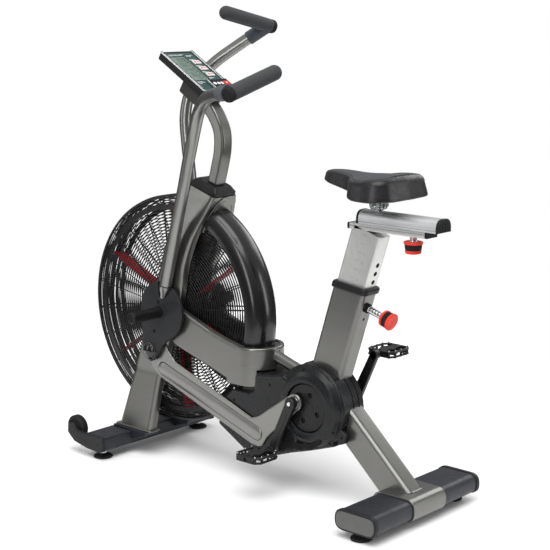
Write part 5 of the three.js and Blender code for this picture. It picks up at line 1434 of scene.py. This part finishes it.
def saddle_shape():
    """Cushion: rolled lower edge, walls that lean in, a round shoulder, a seam and a crowned top."""
    half = even_steps(rounded(SADDLE_PLAN, 0, 12, closed=False), 110)
    for _ in range(6):
        softer = [(a + b * 2 + c) / 4 for a, b, c in zip(half, half[1:], half[2:])]
        half = [half[0], *softer, half[-1]]
    edge = half + [Vector((p.x, -p.y)) for p in half[-2:0:-1]]
    count = len(edge)

    def ring(inward, height):
        out = []
        for p in edge:
            w = wing(p.x)
            core = Vector((min(max(p.x, 228), 452), 0)).lerp(Vector((428, p.y * 0.6)), w)
            slope, shoulder = 3 + 6 * w, 12 + 6 * w
            q = p + (core - p).normalized() * min(inward(slope, shoulder), (core - p).length * 0.8)
            low, top = saddle_base(q.x, q.y), saddle_top(q.x, q.y)
            out.append((q.x, q.y, height(low, top, shoulder)))
        return out

    rings = [ring(lambda s, r: 9, lambda b, t, r: b + 0.4), ring(lambda s, r: 3.2, lambda b, t, r: b + 0.5),
             ring(lambda s, r: 0.9, lambda b, t, r: b + 2), ring(lambda s, r: 0, lambda b, t, r: b + 5),
             ring(lambda s, r: 0.25 * s, lambda b, t, r: b + 5 + 0.3 * (t - r - b - 5)),
             ring(lambda s, r: 0.6 * s, lambda b, t, r: b + 5 + 0.65 * (t - r - b - 5)),
             ring(lambda s, r: s, lambda b, t, r: t - r)]
    for i in range(1, 8):
        a = radians(12 * i)
        rings.append(ring(lambda s, r, a=a: s + r * (1 - cos(a)), lambda b, t, r, a=a: t - r + r * sin(a)))
    rings += [ring(lambda s, r: s + r + 1.2, lambda b, t, r: t - 1.1),
              ring(lambda s, r: s + r + 2.6, lambda b, t, r: t + 0.1)]
    seam = rings[-2]
    verts, faces = skin(rings, caps=False)
    for level, way in ((0, -1), (len(rings) - 1, 1)):
        start, across = level * count, 12
        rows = [[start]]
        for i in range(1, count // 2):
            a, b = verts[start + i], verts[start + count - i]
            line = [start + i]
            for n in range(1, across):
                x, y = a[0], a[1] + (b[1] - a[1]) * n / across
                crown = 2.6 * min(1, (x - SADDLE_NOSE) / 60, (SADDLE_TAIL + 2 - x) / 50)
                high = saddle_top(x, y) + 0.1 + crown * (1 - (y / a[1]) ** 2)
                z = high if way > 0 else saddle_base(x, y) + 0.4
                line.append(len(verts))
                verts.append((x, y, z))
            rows.append(line + [start + count - i])
        rows.append([start + count // 2])
        for a, b in zip(rows, rows[1:]):
            if len(a) == 1:
                faces += [(a[0], b[n], b[n + 1]) for n in range(len(b) - 1)]
            elif len(b) == 1:
                faces += [(a[n], b[0], a[n + 1]) for n in range(len(a) - 1)]
            else:
                faces += [(a[n], b[n], b[n + 1], a[n + 1]) for n in range(len(a) - 1)]
    return (verts, faces), seam


def saddle():
    shape, seam = saddle_shape()
    seat = make("saddle_pad", shape, "saddle_side", "saddle_slide", "saddle", angle=180)
    seat.data.materials.append(finish_of("saddle_top"))
    for face in seat.data.polygons:
        high = face.center.z * 1000
        if high > saddle_top(face.center.x * 1000 - SHIFT_X, face.center.y * 1000) - 1.4:
            face.material_index = 1
    bead = [(x, y, z + 0.5) for x, y, z in seam]
    make("saddle_seam", sweep(bead, ring_points(0.8, 8), (0, 0, 1), loop=True), "thread", "saddle_slide",
         angle=180)
    plate = rounded([(340, -24, 12), (390, -60, 26), (440, -66, 20), (458, -40, 20), (458, 40, 20),
                     (440, 66, 20), (390, 60, 26), (340, 24, 12)], 10, 6)
    make("saddle_base_plate", slab(plate, 858.6, 866, PLAN, 1.5), "trim", "saddle_slide")


def knob(name, base, direction, reach, grip, r0, r1, body, node):
    """Spring pull knob: steel stem, threaded sleeve, red flange, ribbed black waist and red end."""
    to = along(base, Vector(base) + Vector(direction))
    stem = [(0, reach - 14), (9.6, reach - 14)]
    for i in range(6):
        h = reach - 13 + (grip - reach + 12) * i / 6
        stem += [(9.6, h), (8.9, h + 0.9), (9.6, h + 1.8)]
    make(f"{name}_pin", lathe([*stem, (9.6, grip + 0.5), (0, grip + 0.5)], to, 48), "chrome", body, node)
    radius = lambda t: r0 + (r1 - r0) * t
    flange = [(0, grip), (radius(0) - 1.5, grip), (radius(0), grip + 1.6), (radius(0.2), grip + 6.6),
              (radius(0.2) - 2.2, grip + 7.6), (0, grip + 7.6)]
    make(f"{name}_flange", turned(flange, 0.9, 4, to, 72), "knob_red", body)

    def ribs(a, r, h):
        return r - (0.9 * (0.5 - 0.5 * cos(a * 24)) if r > 12 else 0)
    waist = [(0, grip + 7.4), (radius(0.25) - 1.6, grip + 7.4), (radius(0.5) - 1.1, grip + 15),
             (radius(0.8) - 1.4, grip + 23), (0, grip + 23)]
    make(f"{name}_waist", lathe(waist, to, 144, ribs), "knob_black", body, angle=60)
    end = [(0, grip + 22.8), (radius(0.8) - 0.8, grip + 22.8), (radius(1) - 0.2, grip + 26),
           (radius(1) - 0.4, grip + 30), (radius(1) - 3, grip + 31.9), (7, grip + 31.9), (6, grip + 31.2),
           (0, grip + 31.2)]
    make(f"{name}_end", turned(end, 0.8, 4, to, 72), "knob_red", body)


def column_fittings():
    """Both pull knobs, the boss of the upper one, a dark disc of painted shade where a spare hole is, and
    the bottom bracket.
    """
    rear = (cos(TILT), 0, -sin(TILT))
    knob("post_knob", SEAT_TUBE(0, 50.6, LOCK_AT), rear, 17.4, 63, 22.5, 24.5, "post_knob", "post_knob")
    knob("slider_knob", (496, 0, 786), (0, 0, -1), 22, 29, 26, 21.5, "slider_knob", "slider_knob")
    seat = Vector(SEAT_TUBE(0, 54, LOCK_AT))
    boss = [(0, -1), (13.6, -1), (13.6, 6), (12, 8.6), (0, 8.6)]
    make("post_knob_boss", turned(boss, 1, 4, along(seat, seat + Vector(rear)), 48), "shadow")
    # dark disc on the column's rear face: painted shade where a spare hole is
    low = Vector(SEAT_TUBE(0, 53.4, 290))
    hole = [(0, 0), (4.4, 0), (4.4, 0.75), (0, 0.75)]
    make("column_hole_shade", lathe(hole, along(low, low + Vector(rear)), 28), "shadow")
    shell = [(24, -60), (34, -60), (34, 53), (24, 53), (24, -60)]
    make("bottom_bracket_shell", lathe(shell, about_y(*CRANK), 64), "steel", stands_for="bottom_bracket")


# ------------------------------------------------------------------ studio
def studio():
    scene = bpy.context.scene
    data = bpy.data.cameras.new("camera")
    data.lens, data.sensor_width = 92.556, 36.0
    data.clip_start, data.clip_end = 0.05, 60
    camera = bpy.data.objects.new("camera", data)
    yaw, pitch = radians(48.433), radians(11.146)
    look = Vector((-cos(yaw) * cos(pitch), sin(yaw) * cos(pitch), -sin(pitch)))
    camera.location = row((2629.5, -2947.2, 1380.0))
    aim = look.to_track_quat("-Z", "Y").to_matrix()
    camera.rotation_euler = (aim @ Matrix.Rotation(radians(0.24), 3, "Z")).to_euler()
    scene.collection.objects.link(camera)
    scene.camera = camera

    # soft white room: bright overhead, darker towards the horizon, plain white behind the object
    world = bpy.data.worlds.new("studio")
    scene.world = world
    world.use_nodes = True
    nodes, links = world.node_tree.nodes, world.node_tree.links
    room, out = nodes["Background"], nodes["World Output"]
    place = nodes.new("ShaderNodeTexCoord")
    height = nodes.new("ShaderNodeSeparateXYZ")
    ramp = nodes.new("ShaderNodeValToRGB")
    dark, light = ramp.color_ramp.elements
    dark.position, dark.color = 0.0, (0.13, 0.13, 0.135, 1)
    light.position, light.color = 0.85, (1.0, 1.0, 1.0, 1)
    links.new(place.outputs["Generated"], height.inputs["Vector"])
    links.new(height.outputs["Z"], ramp.inputs["Fac"])
    links.new(ramp.outputs["Color"], room.inputs["Color"])
    room.inputs["Strength"].default_value = 0.66
    white = nodes.new("ShaderNodeBackground")
    white.inputs["Color"].default_value = (1.0, 1.0, 1.0, 1)
    white.inputs["Strength"].default_value = 1.0
    path, mix = nodes.new("ShaderNodeLightPath"), nodes.new("ShaderNodeMixShader")
    links.new(path.outputs["Is Camera Ray"], mix.inputs[0])
    links.new(room.outputs["Background"], mix.inputs[1])
    links.new(white.outputs["Background"], mix.inputs[2])
    links.new(mix.outputs["Shader"], out.inputs["Surface"])
    scene.view_settings.view_transform = "Standard"

    sun = bpy.data.lights.new("overhead", "SUN")
    sun.energy, sun.angle = 2.5, radians(50)
    lamp = bpy.data.objects.new("overhead", sun)
    lamp.rotation_euler = Vector((-0.25, 0.35, -1)).to_track_quat("-Z", "Y").to_euler()
    scene.collection.objects.link(lamp)

    def panel(name, at, target, size, power):
        light = bpy.data.lights.new(name, "AREA")
        light.shape, light.size, light.size_y, light.energy = "RECTANGLE", size[0], size[1], power
        lamp = bpy.data.objects.new(name, light)
        lamp.location = at
        lamp.rotation_euler = (Vector(target) - Vector(at)).to_track_quat("-Z", "Y").to_euler()
        scene.collection.objects.link(lamp)

    panel("key_panel", (1.0, -3.6, 1.7), (0, 0, 0.6), (0.8, 2.8), 40)
    panel("side_panel", (-2.9, -2.9, 1.3), (0, 0, 0.5), (0.9, 2.4), 16)
    panel("back_panel", (0.2, 3.4, 2.4), (0, 0, 0.7), (2.2, 1.4), 30)
    panel("rear_panel", (3.3, 2.4, 1.3), (0, 0, 0.5), (0.7, 2.4), 26)

    size = 1.7
    mesh = bpy.data.meshes.new("floor")
    corners = [(x, y, 0) for x, y in box_of(-size, -size, size, size)]
    mesh.from_pydata(corners, [], [(0, 1, 2, 3)])
    floor = bpy.data.objects.new("floor", mesh)
    scene.collection.objects.link(floor)
    ground = Surface("floor_white", (0.93, 0.93, 0.93), 0.7)
    ground.tint(ground.noise(3, 3), (0.3, (0.92, 0.92, 0.92)), (0.8, (0.945, 0.945, 0.945)))
    floor.data.materials.append(ground.mat)


def build():
    studio()
    front_base()
    wheels()
    rear_base()
    feet()
    arms_and_bow()
    column_and_leg()
    collars()
    mast()
    console()
    console_keys()
    cages()
    rotor()
    fender()
    housing()
    drive()
    for word, k in SIDES:
        pedal(word, k)
        rocker(word, k)
        lever(word, k)
        foot_peg(word, k)
        link(word, k)
    seat_post()
    slider()
    saddle_clamp()
    saddle()
    column_fittings()


build()
bpy.context.view_layer.update()
